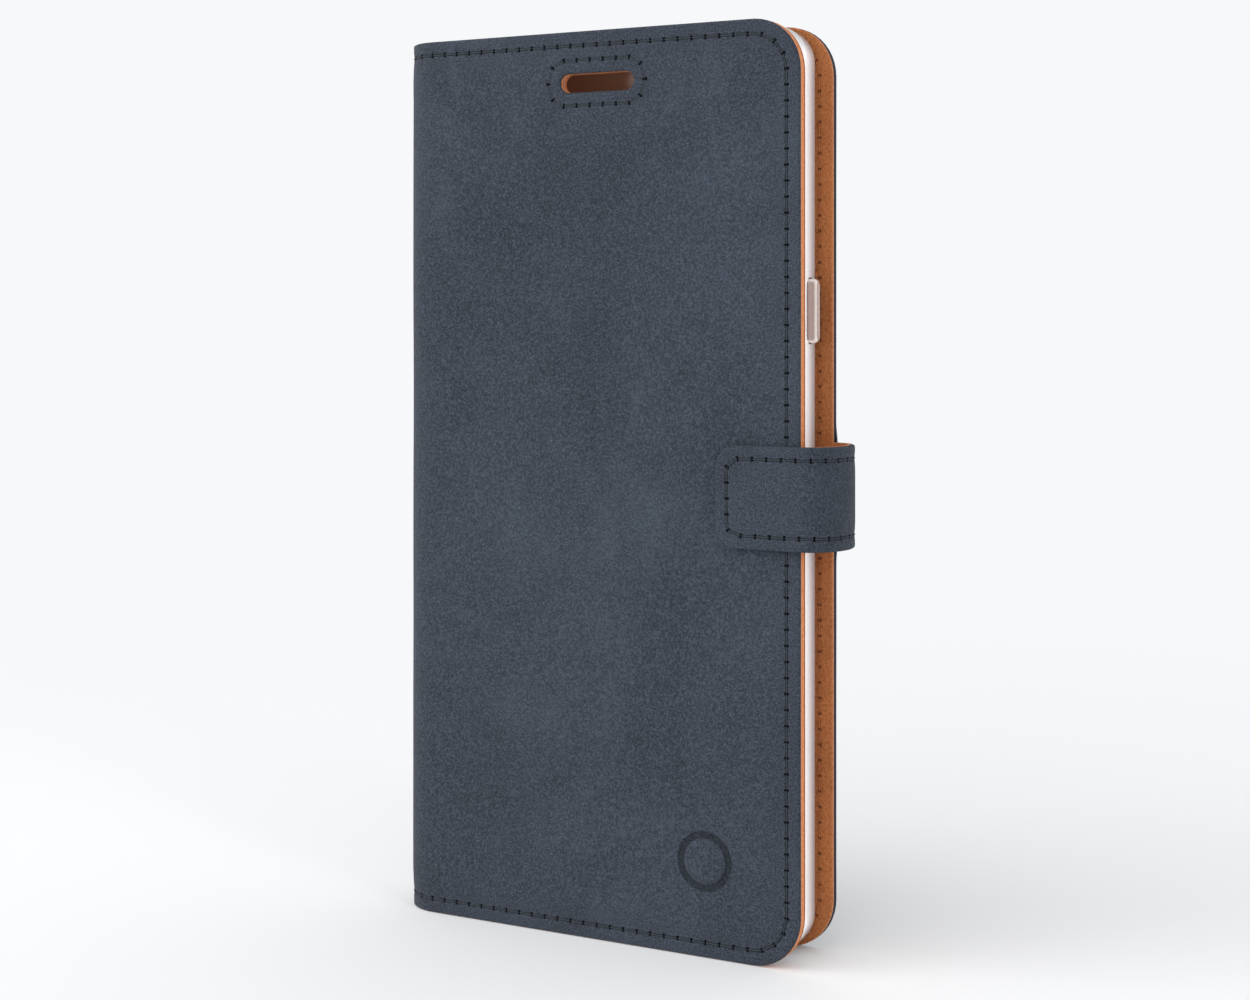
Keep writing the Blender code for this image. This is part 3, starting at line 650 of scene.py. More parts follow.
NAVY = navy_nubuck()
TAN = tan_nubuck()
TAN_EDGE = cut_edge("tan_cut_edge", (188, 106, 60), (232, 158, 108))
NAVY_EDGE = cut_edge("navy_cut_edge", (26, 29, 36), (62, 66, 76))
NAVY_THREAD = thread("navy_thread", (33, 37, 45), (52, 58, 68))
TAN_THREAD = thread("tan_thread", (146, 84, 44), (182, 112, 64))
TPU = clear_tpu("clear_tpu", 0.29, 0.0)
PAD_TPU = clear_tpu("clear_tpu_pad", 0.03, 0.75, 0.36)

# ---------------------------------------------------------------- cover sheets

EDGE_ROUND = 0.4
RING_INSETS = (0.07, 0.18, 0.32, 0.55, 0.95, 1.5, 2.0, 3.5, 4.4, 5.6, 7.2, 9.0)
STATION_STEP = 0.95
GRID_STEP = 2.2

outline_l = np.linspace(0, SEAM_LENGTH, round(SEAM_LENGTH / STATION_STEP) + 1)
pitch = SEAM_LENGTH / 2 / STITCHES_TO_MIDDLE
edge_marks = along_outline((np.arange(2 * STITCHES_TO_MIDDLE) + 0.5) * pitch, SEAM_INSET)
EDGE_SEAM = Seam(edge_marks, ends=(np.array([0, TOP - SEAM_INSET]), np.array([0, SEAM_INSET - TOP])))


def cover_outline():
    """The outline round the free edge, closed by a straight line up the middle of the spine."""
    closing = np.linspace(-TOP, TOP, round(2 * TOP / GRID_STEP) + 1)[1:-1]
    middle = np.stack([0 * closing, closing], axis=1)
    return np.vstack([along_outline(outline_l, 0.0), middle])


def cover_groups(seams, extra=()):
    """Mesh points of a cover sheet, each group with its smallest gap."""
    rings = [along_outline(outline_l, inset) for inset in RING_INSETS]
    curved = np.arange(0.8, CURVE, 0.8)
    columns = np.concatenate([[0.15], curved, np.arange(CURVE, WIDTH - CORNER, GRID_STEP)])
    rows = np.linspace(-TOP, TOP, round(2 * TOP / GRID_STEP) + 1)
    grid = np.array([(s, z) for s in columns for z in rows if edge_inset(s, z) > 10.2])
    near_spine = np.array([(0.15, z) for z in (along_outline(np.zeros(1), i)[0, 1] for i in RING_INSETS)])
    near_spine = np.vstack([near_spine, near_spine * (1, -1)])
    seam_points = [(seam.points(), 0.06) for seam in seams]
    return seam_points + [(p, g) for p, g in extra] + [(near_spine, 0.05)] + [(r, 0.1) for r in rings[:4]] \
        + [(r, 0.3) for r in rings[4:]] + [(grid, 0.8)]


def rounded_edge(inset, radius=EDGE_ROUND):
    """Height at a distance in from a rounded edge: 0 on the face, less towards the edge."""
    gone = np.clip(radius - inset, 0, radius)
    return -(radius - np.sqrt(np.maximum(radius ** 2 - gone ** 2, 0)))


def sewn_relief(seams, points):
    """Grooves and needle holes of some seams."""
    height = np.zeros(len(points))
    for seam in seams:
        near = seam.groove(points)
        height -= GROOVE_DEPTH * (1 - smooth(near, GROOVE_HALF * 0.5, GROOVE_HALF))
        height -= PULL_DEPTH * (1 - smooth(near, GROOVE_HALF, PULL_HALF))
        height -= HOLE_DEPTH * seam.hole(points)
    return height


def sewn_shade(seams, points, holes=1.0, groove=0.2):
    """Painted shade in the holes and grooves of some seams: how dark each point is painted."""
    dark = np.zeros(len(points))
    for seam in seams:
        near = seam.groove(points)
        line = (1 - smooth(near, 0.22, 0.34)) * groove
        dark = np.maximum(dark, np.maximum(line, holes * smooth(seam.hole(points), 0.0, 0.3)))
    return dark


def unevenness(s, z, size, amount, seed):
    """Slow swells in a hand-worked sheet."""
    return np.array([noise.noise(Vector((a / size, b / size, seed))) for a, b in zip(s, z)]) * amount


def s_of(x):
    """The place along the cover's section of a point on its flat part."""
    return CURVE + x - SPINE_X


# Speaker slot in the front, with its ring of stitches
SLOT_LENGTH = 15.7
SLOT_HEIGHT = 3.5
SLOT_ROUND = 0.49
slot_thread_low, slot_thread_high = box_mm("speaker_slot_thread")
SLOT_CENTRE = np.array([s_of(0.0), (slot_thread_low[2] + slot_thread_high[2]) / 2])
SLOT_ROW = 6
SLOT_PITCH = 2.83
SLOT_RING_HALF = 4.25
SLOT_RING_END = 3.4


def slot_ring():
    """The seam round the speaker slot: a row above, a row below, and three marks at each end."""
    row = (np.arange(SLOT_ROW) - (SLOT_ROW - 1) / 2) * SLOT_PITCH
    turns = np.radians((45, 0, -45))
    right = [(row[-1] + SLOT_RING_END * math.cos(a), SLOT_RING_HALF * math.sin(a)) for a in turns]
    top = [(x, SLOT_RING_HALF) for x in row]
    marks = top + right
    return Seam(np.array(marks + [(-x, -z) for x, z in marks]) + SLOT_CENTRE, closed=True)


# Plain pressed mark low on the front
MARK_CENTRE = np.array([s_of(FREE_EDGE - 19.0), -TOP + 17.5])
MARK_RADIUS = 5.6
MARK_BAND = 1.5
MARK_DEPTH = 0.28
MARK_SOFT = 0.22


def mark_amount(points):
    """1 on the pressed ring, 0 off it."""
    off = np.abs(np.linalg.norm(points - MARK_CENTRE, axis=1) - (MARK_RADIUS - MARK_BAND / 2))
    return 1 - smooth(off, MARK_BAND / 2 - MARK_SOFT, MARK_BAND / 2)


def mark_points():
    """Mesh points that the pressed ring's edges need."""
    found = []
    for offset in (-0.15, 0.0, MARK_SOFT / 2, MARK_SOFT, MARK_BAND / 2):
        for radius in (MARK_RADIUS - offset, MARK_RADIUS - MARK_BAND + offset):
            turn = np.arange(0, 2 * math.pi, 0.4 / radius)
            found.append(MARK_CENTRE + radius * np.stack([np.cos(turn), np.sin(turn)], axis=1))
    return np.vstack(found)


def around(width, height, radius, centre, offsets=(0.07, 0.18, 0.35, 0.7, 1.2)):
    """Rings of points just outside a rounded opening."""
    return np.vstack([rounded_rectangle(width + 2 * o, height + 2 * o, radius + o, 0.6, centre)
                      for o in offsets])


def slot_loop():
    return rounded_rectangle(SLOT_LENGTH, SLOT_HEIGHT, SLOT_HEIGHT * SLOT_ROUND, 0.4, SLOT_CENTRE)


SIDE_NAMES = {FRONT: "front", BACK: "back"}
CUSHION = 0.14
CUSHION_REACH = 5
OPENING_ROUND = 0.45
OPENING_DIP_REACH = 2.0


def cover_relief(seams, opening, dip):
    """Heights of a cover's leather: rounded edges, seams, a slight cushion, and a dip round its opening."""
    def relief(s, z):
        p = np.stack([s, z], axis=1)
        inset = edge_inset(s, z)
        height = rounded_edge(inset) + sewn_relief(seams, p)
        height += CUSHION * smooth(inset, SEAM_INSET, SEAM_INSET + CUSHION_REACH)
        gap = loop_distance(p, opening)
        height += rounded_edge(gap, OPENING_ROUND) - dip * (1 - smooth(gap, 0.0, OPENING_DIP_REACH))
        return height
    return relief


def make_outer(side, opening, groups, relief, shade_and_mark, edge, ring, ring_name, lift=None):
    """A cover's outer leather, with its edge seam and the seam round its opening."""
    short = SIDE_NAMES[side]
    body = short + "_cover"
    place = cover_face(side, 0.0, OUTWARD)
    leather = sheet(body + "_leather", place, cover_outline(), [opening], groups, LEATHER, relief, shade_and_mark,
                    NAVY, edge, lift)
    edge_place = lifted(place, lift) if lift else place
    edge_stitches = stitches(body + "_edge_stitches", edge_place, EDGE_SEAM, NAVY_THREAD)
    ring_stitches = stitches(ring_name + "_stitches", place, ring, NAVY_THREAD)
    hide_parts(short + "_outer_leather", "spine_outer_leather")
    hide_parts(short + "_edge_needle_thread", "spine_upper_thread", "spine_lower_thread")
    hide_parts(ring_name + "_thread")
    blend_cover(leather)
    blend_cover(edge_stitches)
    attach(ring_stitches, body)


def make_lining(side, opening, around_opening, look, navy_edge_where=None):
    """A cover's lining, with the inner side of its edge seam."""
    short = SIDE_NAMES[side]
    body = short + "_cover"
    place = cover_face(side, look["depth"], INWARD)
    groups = cover_groups([EDGE_SEAM], [(around_opening, OPENING_GAP)])

    def relief(s, z):
        p = np.stack([s, z], axis=1)
        return rounded_edge(edge_inset(s, z), look["edge_round"]) + look["pull"] * sewn_relief([EDGE_SEAM], p)

    # Painted shade in the edge seam's holes and groove
    def shade_and_mark(s, z):
        return sewn_shade([EDGE_SEAM], np.stack([s, z], axis=1), look["holes"], look["groove"])

    lining = sheet(body + "_lining", place, cover_outline(), [opening], groups, look["thickness"],
                   relief, shade_and_mark, TAN, TAN_EDGE, navy_edge_where=navy_edge_where)
    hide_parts(short + "_lining", "spine_lining")
    blend_cover(lining)
    inner_stitches = stitches(body + "_inner_stitches", place, EDGE_SEAM, TAN_THREAD, *look["thread"])
    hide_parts(short + "_edge_bobbin_thread")
    blend_cover(inner_stitches)


# The linings: depth below the outer face, share of the seam's relief, painted shade of its holes and
# groove, and the height and radius of the inner thread
FRONT_LINING = dict(depth=1.9, thickness=0.98, edge_round=0.2, pull=0.7, holes=0.55, groove=0.06,
                    thread=(-0.08, 0.16))
BACK_LINING = dict(depth=2.2, thickness=1.1, edge_round=0.25, pull=0.6, holes=0.32, groove=0.0,
                   thread=(-0.1, 0.15))
OPENING_GAP = 0.1
MARK_GAP = 0.12
MARK_STAIN = 0.52
SWELL_SIZE = 24.0
SWELL_HEIGHT = 0.10
FRONT_SEED = 1.7
BACK_SEED = 5.3


def make_front():
    ring = slot_ring()
    slot = slot_loop()
    around_slot = around(SLOT_LENGTH, SLOT_HEIGHT, SLOT_HEIGHT * SLOT_ROUND, SLOT_CENTRE)
    seams = [EDGE_SEAM, ring]
    groups = cover_groups(seams, [(mark_points(), MARK_GAP), (around_slot, OPENING_GAP)])
    plain = cover_relief(seams, slot, dip=0.22)

    def relief(s, z):
        p = np.stack([s, z], axis=1)
        swell = unevenness(s, z, SWELL_SIZE, SWELL_HEIGHT, FRONT_SEED)
        return plain(s, z) - MARK_DEPTH * mark_amount(p) + swell

    # Painted shade in the seams' holes and grooves, and the pressed ring made darker
    def shade_and_mark(s, z):
        p = np.stack([s, z], axis=1)
        return np.maximum(sewn_shade(seams, p), MARK_STAIN * mark_amount(p))

    make_outer(FRONT, slot, groups, relief, shade_and_mark, TAN_EDGE, ring, "speaker_slot")
    make_lining(FRONT, slot, around_slot, FRONT_LINING)


def blend_cover(obj):
    """Bakes a piece's placement into its mesh."""
    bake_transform(obj)


# Camera window in the back
camera_low, camera_high = box_mm("camera_window_thread")
WINDOW_SEAM_OFFSET = 2.5
WINDOW_CENTRE = np.array([s_of((camera_low[0] + camera_high[0]) / 2), (camera_low[2] + camera_high[2]) / 2])
WINDOW_WIDTH = 46.0
WINDOW_HEIGHT = 16.0
WINDOW_RADIUS = 4.5

# Strap: u runs from its tip, along the front, round the loop and under the back leather.
strap_low, strap_high = box_mm("strap_tip_leather")
root_high = box_mm("strap_root_leather")[1]
STRAP_TIP_X = strap_low[0]
STRAP_LOW = strap_low[2]
STRAP_HIGH = strap_high[2]
STRAP_FRONT_Y = strap_low[1]
STRAP_BACK_Y = root_high[1]
LOOP_BULGE = 6.6
LOOP_REACH = (STRAP_BACK_Y - STRAP_FRONT_Y) / 2
LOOP_Y = (STRAP_BACK_Y + STRAP_FRONT_Y) / 2
STRAP_FLAT = FREE_EDGE - STRAP_TIP_X
TONGUE = 6.0
STRAP_LEATHER = 0.8
STRAP_THICKNESS = 1.45
STRAP_SEAM_INSET = 2.4
STRAP_TIP_RADIUS = 4.0
STRAP_SEAM_RADIUS = 2.0

loop_turn = np.linspace(-math.pi / 2, math.pi / 2, 721)
loop_x = FREE_EDGE + LOOP_BULGE * np.cos(loop_turn)
loop_y = LOOP_Y + LOOP_REACH * np.sin(loop_turn)
loop_length = np.concatenate([[0], np.cumsum(np.hypot(np.diff(loop_x), np.diff(loop_y)))])
LOOP_LENGTH = loop_length[-1]
LOOP_MIDDLE = STRAP_FLAT + LOOP_LENGTH / 2
STRAP_END = STRAP_FLAT + LOOP_LENGTH + TONGUE


def strap_face(depth, facing):
    """A face of the strap: a function from (u, z, height above the face) to points."""
    def place(u, z, height):
        turn = np.interp(u - STRAP_FLAT, loop_length, loop_turn)
        x = FREE_EDGE + LOOP_BULGE * np.cos(turn)
        y = LOOP_Y + LOOP_REACH * np.sin(turn)
        out_x, out_y = np.cos(turn) / LOOP_BULGE, np.sin(turn) / LOOP_REACH
        size = np.hypot(out_x, out_y)
        x = x - np.maximum(STRAP_FLAT - u, 0) - np.maximum(u - STRAP_FLAT - LOOP_LENGTH, 0)
        inward = depth - facing * height
        return np.stack([x - inward * out_x / size, y - inward * out_y / size, z + 0 * x], axis=1)
    place.mirrored = facing < 0
    return place


ROOT_LIFT = 0.65
ROOT_SLOPE = 3.5


def make_back():
    window = rounded_rectangle(WINDOW_WIDTH, WINDOW_HEIGHT, WINDOW_RADIUS, 0.9, WINDOW_CENTRE)
    out = WINDOW_SEAM_OFFSET
    ring_line = rounded_rectangle(WINDOW_WIDTH + 2 * out, WINDOW_HEIGHT + 2 * out, WINDOW_RADIUS + out, 0.2,
                                  WINDOW_CENTRE)
    ring = Seam(evenly(ring_line, SEAM_PITCH), closed=True)
    seams = [EDGE_SEAM, ring]
    around_window = around(WINDOW_WIDTH, WINDOW_HEIGHT, WINDOW_RADIUS, WINDOW_CENTRE)
    groups = cover_groups(seams, [(around_window, OPENING_GAP)])
    plain = cover_relief(seams, window, dip=0.2)

    def lift(s, z):
        """The leather rides up over the strap's root."""
        below = smooth(z, STRAP_LOW - ROOT_SLOPE, STRAP_LOW + 0.5)
        over = below * (1 - smooth(z, STRAP_HIGH - 0.5, STRAP_HIGH + ROOT_SLOPE))
        return ROOT_LIFT * over * smooth(s, s_of(FREE_EDGE - 13), s_of(FREE_EDGE - 2))

    def relief(s, z):
        return plain(s, z) + unevenness(s, z, SWELL_SIZE, SWELL_HEIGHT, BACK_SEED) * smooth(s, 0, 6)

    # Painted shade in the seams' holes and grooves
    def shade_and_mark(s, z):
        return sewn_shade(seams, np.stack([s, z], axis=1))

    make_outer(BACK, window, groups, relief, shade_and_mark, NAVY_EDGE, ring, "camera_window", lift)
    make_lining(BACK, window, around_window, BACK_LINING, navy_edge_where=lambda s, lower: lower)


def lifted(place, lift):
    """The same face with a lift added to every height."""
    def raised(s, z, height):
        return place(s, z, height + lift(s, z))
    raised.mirrored = place.mirrored
    return raised


# ---------------------------------------------------------------- strap

def strap_inset(u, z):
    """How far a point lies inside the strap's outline, whose far end is hidden."""
    middle, half = (STRAP_LOW + STRAP_HIGH) / 2, (STRAP_HIGH - STRAP_LOW) / 2
    along = STRAP_TIP_RADIUS - u
    up = half - STRAP_TIP_RADIUS - np.abs(z - middle)
    corner = (along > 0) & (up < 0)
    return np.where(corner, STRAP_TIP_RADIUS - np.hypot(along, up), np.minimum(u, half - np.abs(z - middle)))


def strap_outline(start, stop, inset, step=0.7):
    """Outline of a stretch of the strap; the stretch that begins at 0 has the rounded tip."""
    low, high = STRAP_LOW + inset, STRAP_HIGH - inset
    radius = STRAP_TIP_RADIUS - inset
    runs = []
    if start == 0:
        turn = np.linspace(0, math.pi / 2, 9)
        across, along = radius * np.sin(turn), radius * np.cos(turn)
        runs.append(np.stack([inset + radius - across, high - radius + along], axis=1))
        column = np.linspace(high - radius, low + radius, round((high - low) / step))[1:-1]
        runs.append(np.stack([0 * column + inset, column], axis=1))
        runs.append(np.stack([inset + radius - along, low + radius - across], axis=1))
        begin = inset + radius
    else:
        column = np.linspace(high, low, round((high - low) / step))
        runs.append(np.stack([0 * column + start, column], axis=1))
        begin = start
    bottom = np.linspace(begin, stop, round((stop - begin) / step))[1:]
    runs.append(np.stack([bottom, 0 * bottom + low], axis=1))
    column = np.linspace(low, high, round((high - low) / step))[1:]
    runs.append(np.stack([0 * column + stop, column], axis=1))
    top = np.linspace(stop, begin, round((stop - begin) / step))[1:-1]
    runs.append(np.stack([top, 0 * top + high], axis=1))
    return np.vstack(runs)


def strap_seam_marks():
    """Marks round the strap's tip, evenly spaced from the upper row to the lower one."""
    low, high = STRAP_LOW + STRAP_SEAM_INSET, STRAP_HIGH - STRAP_SEAM_INSET
    far = STRAP_FLAT + LOOP_LENGTH - 0.6
    turn = np.linspace(0, math.pi / 2, 24)
    r = STRAP_SEAM_RADIUS
    start = STRAP_SEAM_INSET
    line = [(far, high)]
    line += [(start + r - r * math.sin(a), high - r + r * math.cos(a)) for a in turn]
    line += [(start + r - r * math.cos(a), low + r - r * math.sin(a)) for a in turn]
    line += [(far, low)]
    line = np.array(line)
    length = running_length(line)
    first = (far - STRAP_FLAT + 0.15) % SEAM_PITCH
    return points_at(line, length, np.arange(first, length[-1], SEAM_PITCH))


def strap_groups(start, stop, seam):
    """Mesh points of a stretch of the strap, each group with its smallest gap."""
    insets = (0.07, 0.18, 0.32, 0.55, 1.0, 1.6, 3.3)
    rings = np.vstack([strap_outline(start, stop, i) for i in insets if start == 0] or [np.zeros((0, 2))])
    u = np.concatenate([[start + 0.12], np.arange(start + 0.7, stop, 0.7), [stop - 0.12]])
    rows = np.linspace(STRAP_LOW, STRAP_HIGH, 21)
    near = [STRAP_LOW + i for i in insets] + [STRAP_HIGH - i for i in insets]
    edge_rows = np.array([(a, z) for a in u for z in near if strap_inset(a, z) > 0.05])
    grid = np.array([(a, z) for a in u for z in rows if strap_inset(a, z) > 0.6])
    return [(seam.points(), 0.06), (rings, 0.1), (edge_rows, 0.1), (grid, 0.45)]


def make_strap():
    pieces = (
        ("strap_tip", 0.0, LOOP_MIDDLE, ("strap_loop", "strap_tip"), ("strap_tip_thread",)),
        ("strap_root", LOOP_MIDDLE, STRAP_END, ("back_cover", "strap_loop"), ()),
    )
    seam = Seam(strap_seam_marks())
    outer, inner = strap_face(0.0, OUTWARD), strap_face(STRAP_THICKNESS, INWARD)

    def relief(u, z):
        p = np.stack([u, z], axis=1)
        inset = strap_inset(u, z)
        return rounded_edge(inset, 0.45) + sewn_relief([seam], p) + 0.04 * smooth(inset, 2.4, 5.5)

    # Painted shade in the strap seam's holes and grooves
    def shade_and_mark(u, z):
        return sewn_shade([seam], np.stack([u, z], axis=1))

    def lining_relief(u, z):
        p = np.stack([u, z], axis=1)
        return rounded_edge(strap_inset(u, z), 0.2) + 0.5 * sewn_relief([seam], p)

    # Painted shade in the strap seam's holes and grooves, on the lining
    def lining_shade(u, z):
        return sewn_shade([seam], np.stack([u, z], axis=1), 0.8, 0.2)

    for name, start, stop, bodies, own_threads in pieces:
        groups = strap_groups(start, stop, seam)
        outline = strap_outline(start, stop, 0.0)
        leather = sheet(name + "_leather_piece", outer, outline, [], groups, STRAP_LEATHER, relief, shade_and_mark,
                        NAVY, NAVY_EDGE)
        # Along the strap's flat front the lining's cut edge is navy: painted shade, standing for the shadow
        # under the leather's edge
        lining = sheet(name + "_lining_piece", inner, outline, [], groups, STRAP_THICKNESS - STRAP_LEATHER,
                       lining_relief, lining_shade, TAN, TAN_EDGE, navy_edge_where=lambda u, lower: u < STRAP_FLAT + 1)
        part = strap_part_seam(seam, start, stop)
        outside = stitches(name + "_stitches", outer, part, NAVY_THREAD)
        inside = stitches(name + "_inner_stitches", inner, part, TAN_THREAD, -0.1, 0.15)
        for obj, slot in ((leather, "outer_leather"), (lining, "lining_leather"), (outside, "thread"),
                          (inside, "lining_thread")):
            blend_strap(obj, bodies, name + "_bend")
        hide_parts(name + "_leather", "strap_loop_leather")
        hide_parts(name + "_lining", "strap_loop_lining")
        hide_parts(*own_threads, "strap_loop_upper_thread", "strap_loop_lower_thread")


def strap_part_seam(seam, start, stop):
    """The stitches of a seam whose middle lies between two places on the strap."""
    middle = (seam.starts[:, 0] + seam.stops[:, 0]) / 2
    keep = (middle >= start) & (middle < stop)
    part = Seam(seam.marks)
    part.starts, part.stops = seam.starts[keep], seam.stops[keep]
    return part


def blend_strap(obj, bodies, joint):
    """Bakes a strap piece's placement into its mesh; it works out the tangent at its crease, which lies at 45
    degrees of the loop's ellipse.
    """
    side = 1 if joint == "strap_root_bend" else -1
    tangent = np.array([side * LOOP_BULGE, -LOOP_REACH, 0])
    tangent /= np.linalg.norm(tangent)
    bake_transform(obj)


# ---------------------------------------------------------------- pockets

POCKET_SEAM_INSET = 1.5
POCKET_PITCH = 2.6
NOTCH_RADIUS = 9.0
NOTCH_DEPTH = 4.0


def mouth_line(x, low, high, notch):
    """A pocket's mouth from top to bottom, with a thumb notch in its middle."""
    z = np.concatenate([np.arange(high, low, -1.2), [low]])
    line = [(x, a) for a in z]
    if notch:
        half = math.sqrt(NOTCH_RADIUS ** 2 - (NOTCH_RADIUS - NOTCH_DEPTH) ** 2)
        upper = [(x, a) for a in z if a > half + 0.6]
        lower = [(x, a) for a in z if a < -half - 0.6]
        turn = np.linspace(math.asin(half / NOTCH_RADIUS), -math.asin(half / NOTCH_RADIUS), 17)
        curve = [(x - NOTCH_RADIUS + NOTCH_DEPTH + NOTCH_RADIUS * math.cos(a), NOTCH_RADIUS * math.sin(a))
                 for a in turn]
        line = upper + curve + lower
    return line


def pocket_sheet(name, node, notch, seam, round_corners, holes=()):
    """A pocket's leather on the inside of the front cover, filling the box of its solid."""
    low, high = box_mm(node)
    depth = CASE_DEPTH + high[1]
    thickness = high[1] - low[1]
    radius = CORNER if round_corners else 0.6
    turn = np.linspace(0, math.pi / 2, 12 if round_corners else 4)
    far = high[0]
    line = mouth_line(low[0], low[2], high[2], notch)
    line += [(x, low[2]) for x in np.arange(low[0] + 1.5, far - radius, 1.5)]
    line += [(far - radius + radius * math.sin(a), low[2] + radius - radius * math.cos(a)) for a in turn]
    line += [(far, z) for z in np.arange(low[2] + radius + 1.5, high[2] - radius, 1.5)]
    line += [(far - radius + radius * math.cos(a), high[2] - radius + radius * math.sin(a)) for a in turn]
    line += [(x, high[2]) for x in np.arange(far - radius - 1.5, low[0] + 0.7, -1.5)]
    outline = np.array([(s_of(x), z) for x, z in line])
    place = cover_face(FRONT, depth, INWARD)
    inner_ring = [shrink(outline, d) for d in (0.06, 0.15, 0.35, 0.8)]
    grid = np.array([(s_of(x), z) for x in np.arange(low[0] + 2, far - 1, 2.5)
                     for z in np.arange(low[2] + 2, high[2] - 1, 2.5)])
    groups = ([(seam.points(), 0.06)] if seam else []) + [(r, 0.05) for r in inner_ring] + [(grid, 0.8)]
    round_size = min(0.16, thickness * 0.45)

    def relief(s, z):
        p = np.stack([s, z], axis=1)
        height = rounded_edge(loop_distance(p, outline), round_size)
        if seam:
            height += 0.6 * sewn_relief([seam], p)
        return np.maximum(height, 0.04 - thickness) + unevenness(s, z, 18.0, 0.03, 9.1)

    # Painted shade in the pocket seam's holes and groove
    def shade_and_mark(s, z):
        p = np.stack([s, z], axis=1)
        return sewn_shade([seam], p, 0.8, 0.25) if seam else np.zeros(len(p))

    obj = sheet(name, place, outline, list(holes), groups, thickness, relief, shade_and_mark, TAN, TAN_EDGE)
    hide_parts(node)
    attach(obj, "front_cover")


def shrink(loop, distance):
    """A closed anticlockwise loop moved inward."""
    before, after = np.roll(loop, 1, axis=0), np.roll(loop, -1, axis=0)
    d = after - before
    normal = np.stack([-d[:, 1], d[:, 0]], axis=1)
    return loop + distance * normal / np.maximum(np.linalg.norm(normal, axis=1), 1e-9)[:, None]


def make_pockets():
    names = ("card_pocket_rear", "card_pocket_middle", "card_pocket_front")
    pocket_sheet("cash_pocket_piece", "cash_pocket_panel", False, None, True, [slot_loop()])
    for index, name in enumerate(names):
        low, high = box_mm(name)
        nearest = box_mm(names[index + 1])[0][0] if index < 2 else high[0]
        z = high[2] - POCKET_SEAM_INSET
        far = high[0] - POCKET_SEAM_INSET
        if index < 2:
            steps = np.arange(low[0] + 1.3, nearest - 0.4, POCKET_PITCH)
            seam = join([Seam(np.array([(s_of(x), side * z) for x in steps])) for side in (1, -1)])
        else:
            line = dense_line([(low[0] + 1.0, z), (far, z), (far, -z), (low[0] + 1.0, -z)])
            seam = Seam(np.array([(s_of(x), y) for x, y in evenly(line, POCKET_PITCH, closed=False)]))
        pocket_sheet(name + "_piece", name, True, seam, False)
        face = cover_face(FRONT, CASE_DEPTH + high[1], INWARD)
        sewn = stitches(name + "_stitches", face, seam, TAN_THREAD, -0.05, 0.14)
        if index == 2:
            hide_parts("card_pocket_thread")
        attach(sewn, "front_cover")


def dense_line(corners):
    """Many points along straight runs between corners."""
    return np.array([np.array(a) * (1 - t) + np.array(b) * t for a, b in zip(corners, corners[1:])
                     for t in np.linspace(0, 1, 60)])


def join(rows):
    """Several open seams as one."""
    whole = rows[0]
    for row in rows[1:]:
        whole.marks = np.vstack([whole.marks, row.marks])
        whole.along = np.vstack([whole.along, row.along])
        whole.starts = np.vstack([whole.starts, row.starts])
        whole.stops = np.vstack([whole.stops, row.stops])
    return whole


# ---------------------------------------------------------------- tray and buttons

TRAY_WALL = 1.3
TRAY_LIP = 0.5
LIP_REACH = 0.7
TRAY_FLOOR = 0.8
TRAY_CORNER = 7.0
TRAY_ROUND = 1.1
TRAY_BACK_ROUND = 0.4
WALL_BULGE = 0.25


def loft(name, rings, material):
    """A closed solid through rings of equal count, capped at both ends."""
    n = len(rings[0])
    vertices = np.vstack(rings)
    faces = []
    for j in range(len(rings) - 1):
        for k in range(n):
            p, q = j * n + k, j * n + (k + 1) % n
            faces.append((p, p + n, q + n, q))
    faces.append(tuple(range(n)))
    faces.append(tuple((len(rings) - 1) * n + k for k in reversed(range(n))))
    return make_object(name, vertices, faces, [material], smooth_angle=35)


def face_outward(obj):
    """Turns a closed mesh's faces outward."""
    mesh = bmesh.new()
    mesh.from_mesh(obj.data)
    bmesh.ops.recalc_face_normals(mesh, faces=mesh.faces)
    mesh.to_mesh(obj.data)
    mesh.free()


def fixed_ring(half_width, half_height, radius, y, corner_steps=14):
    """A rounded rectangle with the same number of points whatever its size."""
    points = []
    for i in range(4):
        turn = i * math.pi / 2
        cx = (half_width - radius) * (1 if i in (0, 3) else -1)
        cz = (half_height - radius) * (1 if i in (0, 1) else -1)
        for a in np.linspace(0, math.pi / 2, corner_steps + 1):
            points.append((cx + radius * math.cos(turn + a), y, cz + radius * math.sin(turn + a)))
    return np.array(points)


def block(low, high, radius, along="y"):
    """A rounded bar used to cut an opening through a wall."""
    low, high = np.array(low, float), np.array(high, float)
    axis = "xyz".index(along)
    a, b = [i for i in range(3) if i != axis]
    flat = rounded_rectangle(high[a] - low[a], high[b] - low[b], radius, 0.8,
                             ((low[a] + high[a]) / 2, (low[b] + high[b]) / 2))
    rings = []
    for level in (low[axis], high[axis]):
        ring = np.zeros((len(flat), 3))
        ring[:, a], ring[:, b], ring[:, axis] = flat[:, 0], flat[:, 1], level
        rings.append(ring)
    obj = loft("cutter", rings, TPU)
    face_outward(obj)
    return obj


def carve(obj, cutters):
    """Cuts openings and keeps the result as plain mesh."""
    for cutter in cutters:
        modifier = obj.modifiers.new("cut", "BOOLEAN")
        modifier.object = cutter
        modifier.operation = "DIFFERENCE"
        modifier.solver = "EXACT"
    bpy.context.view_layer.update()
    mesh = bpy.data.meshes.new_from_object(obj.evaluated_get(bpy.context.evaluated_depsgraph_get()))
    obj.modifiers.clear()
    obj.data = mesh
    for cutter in cutters:
        bpy.data.objects.remove(cutter)


PAD_FRONT_TRIM = 1.2
PAD_BACK_SHIFT = 0.3
SPINE_SIDE_TRIM = 0.8
PAD_GAP = 0.3
PAD_ROUND = 0.55

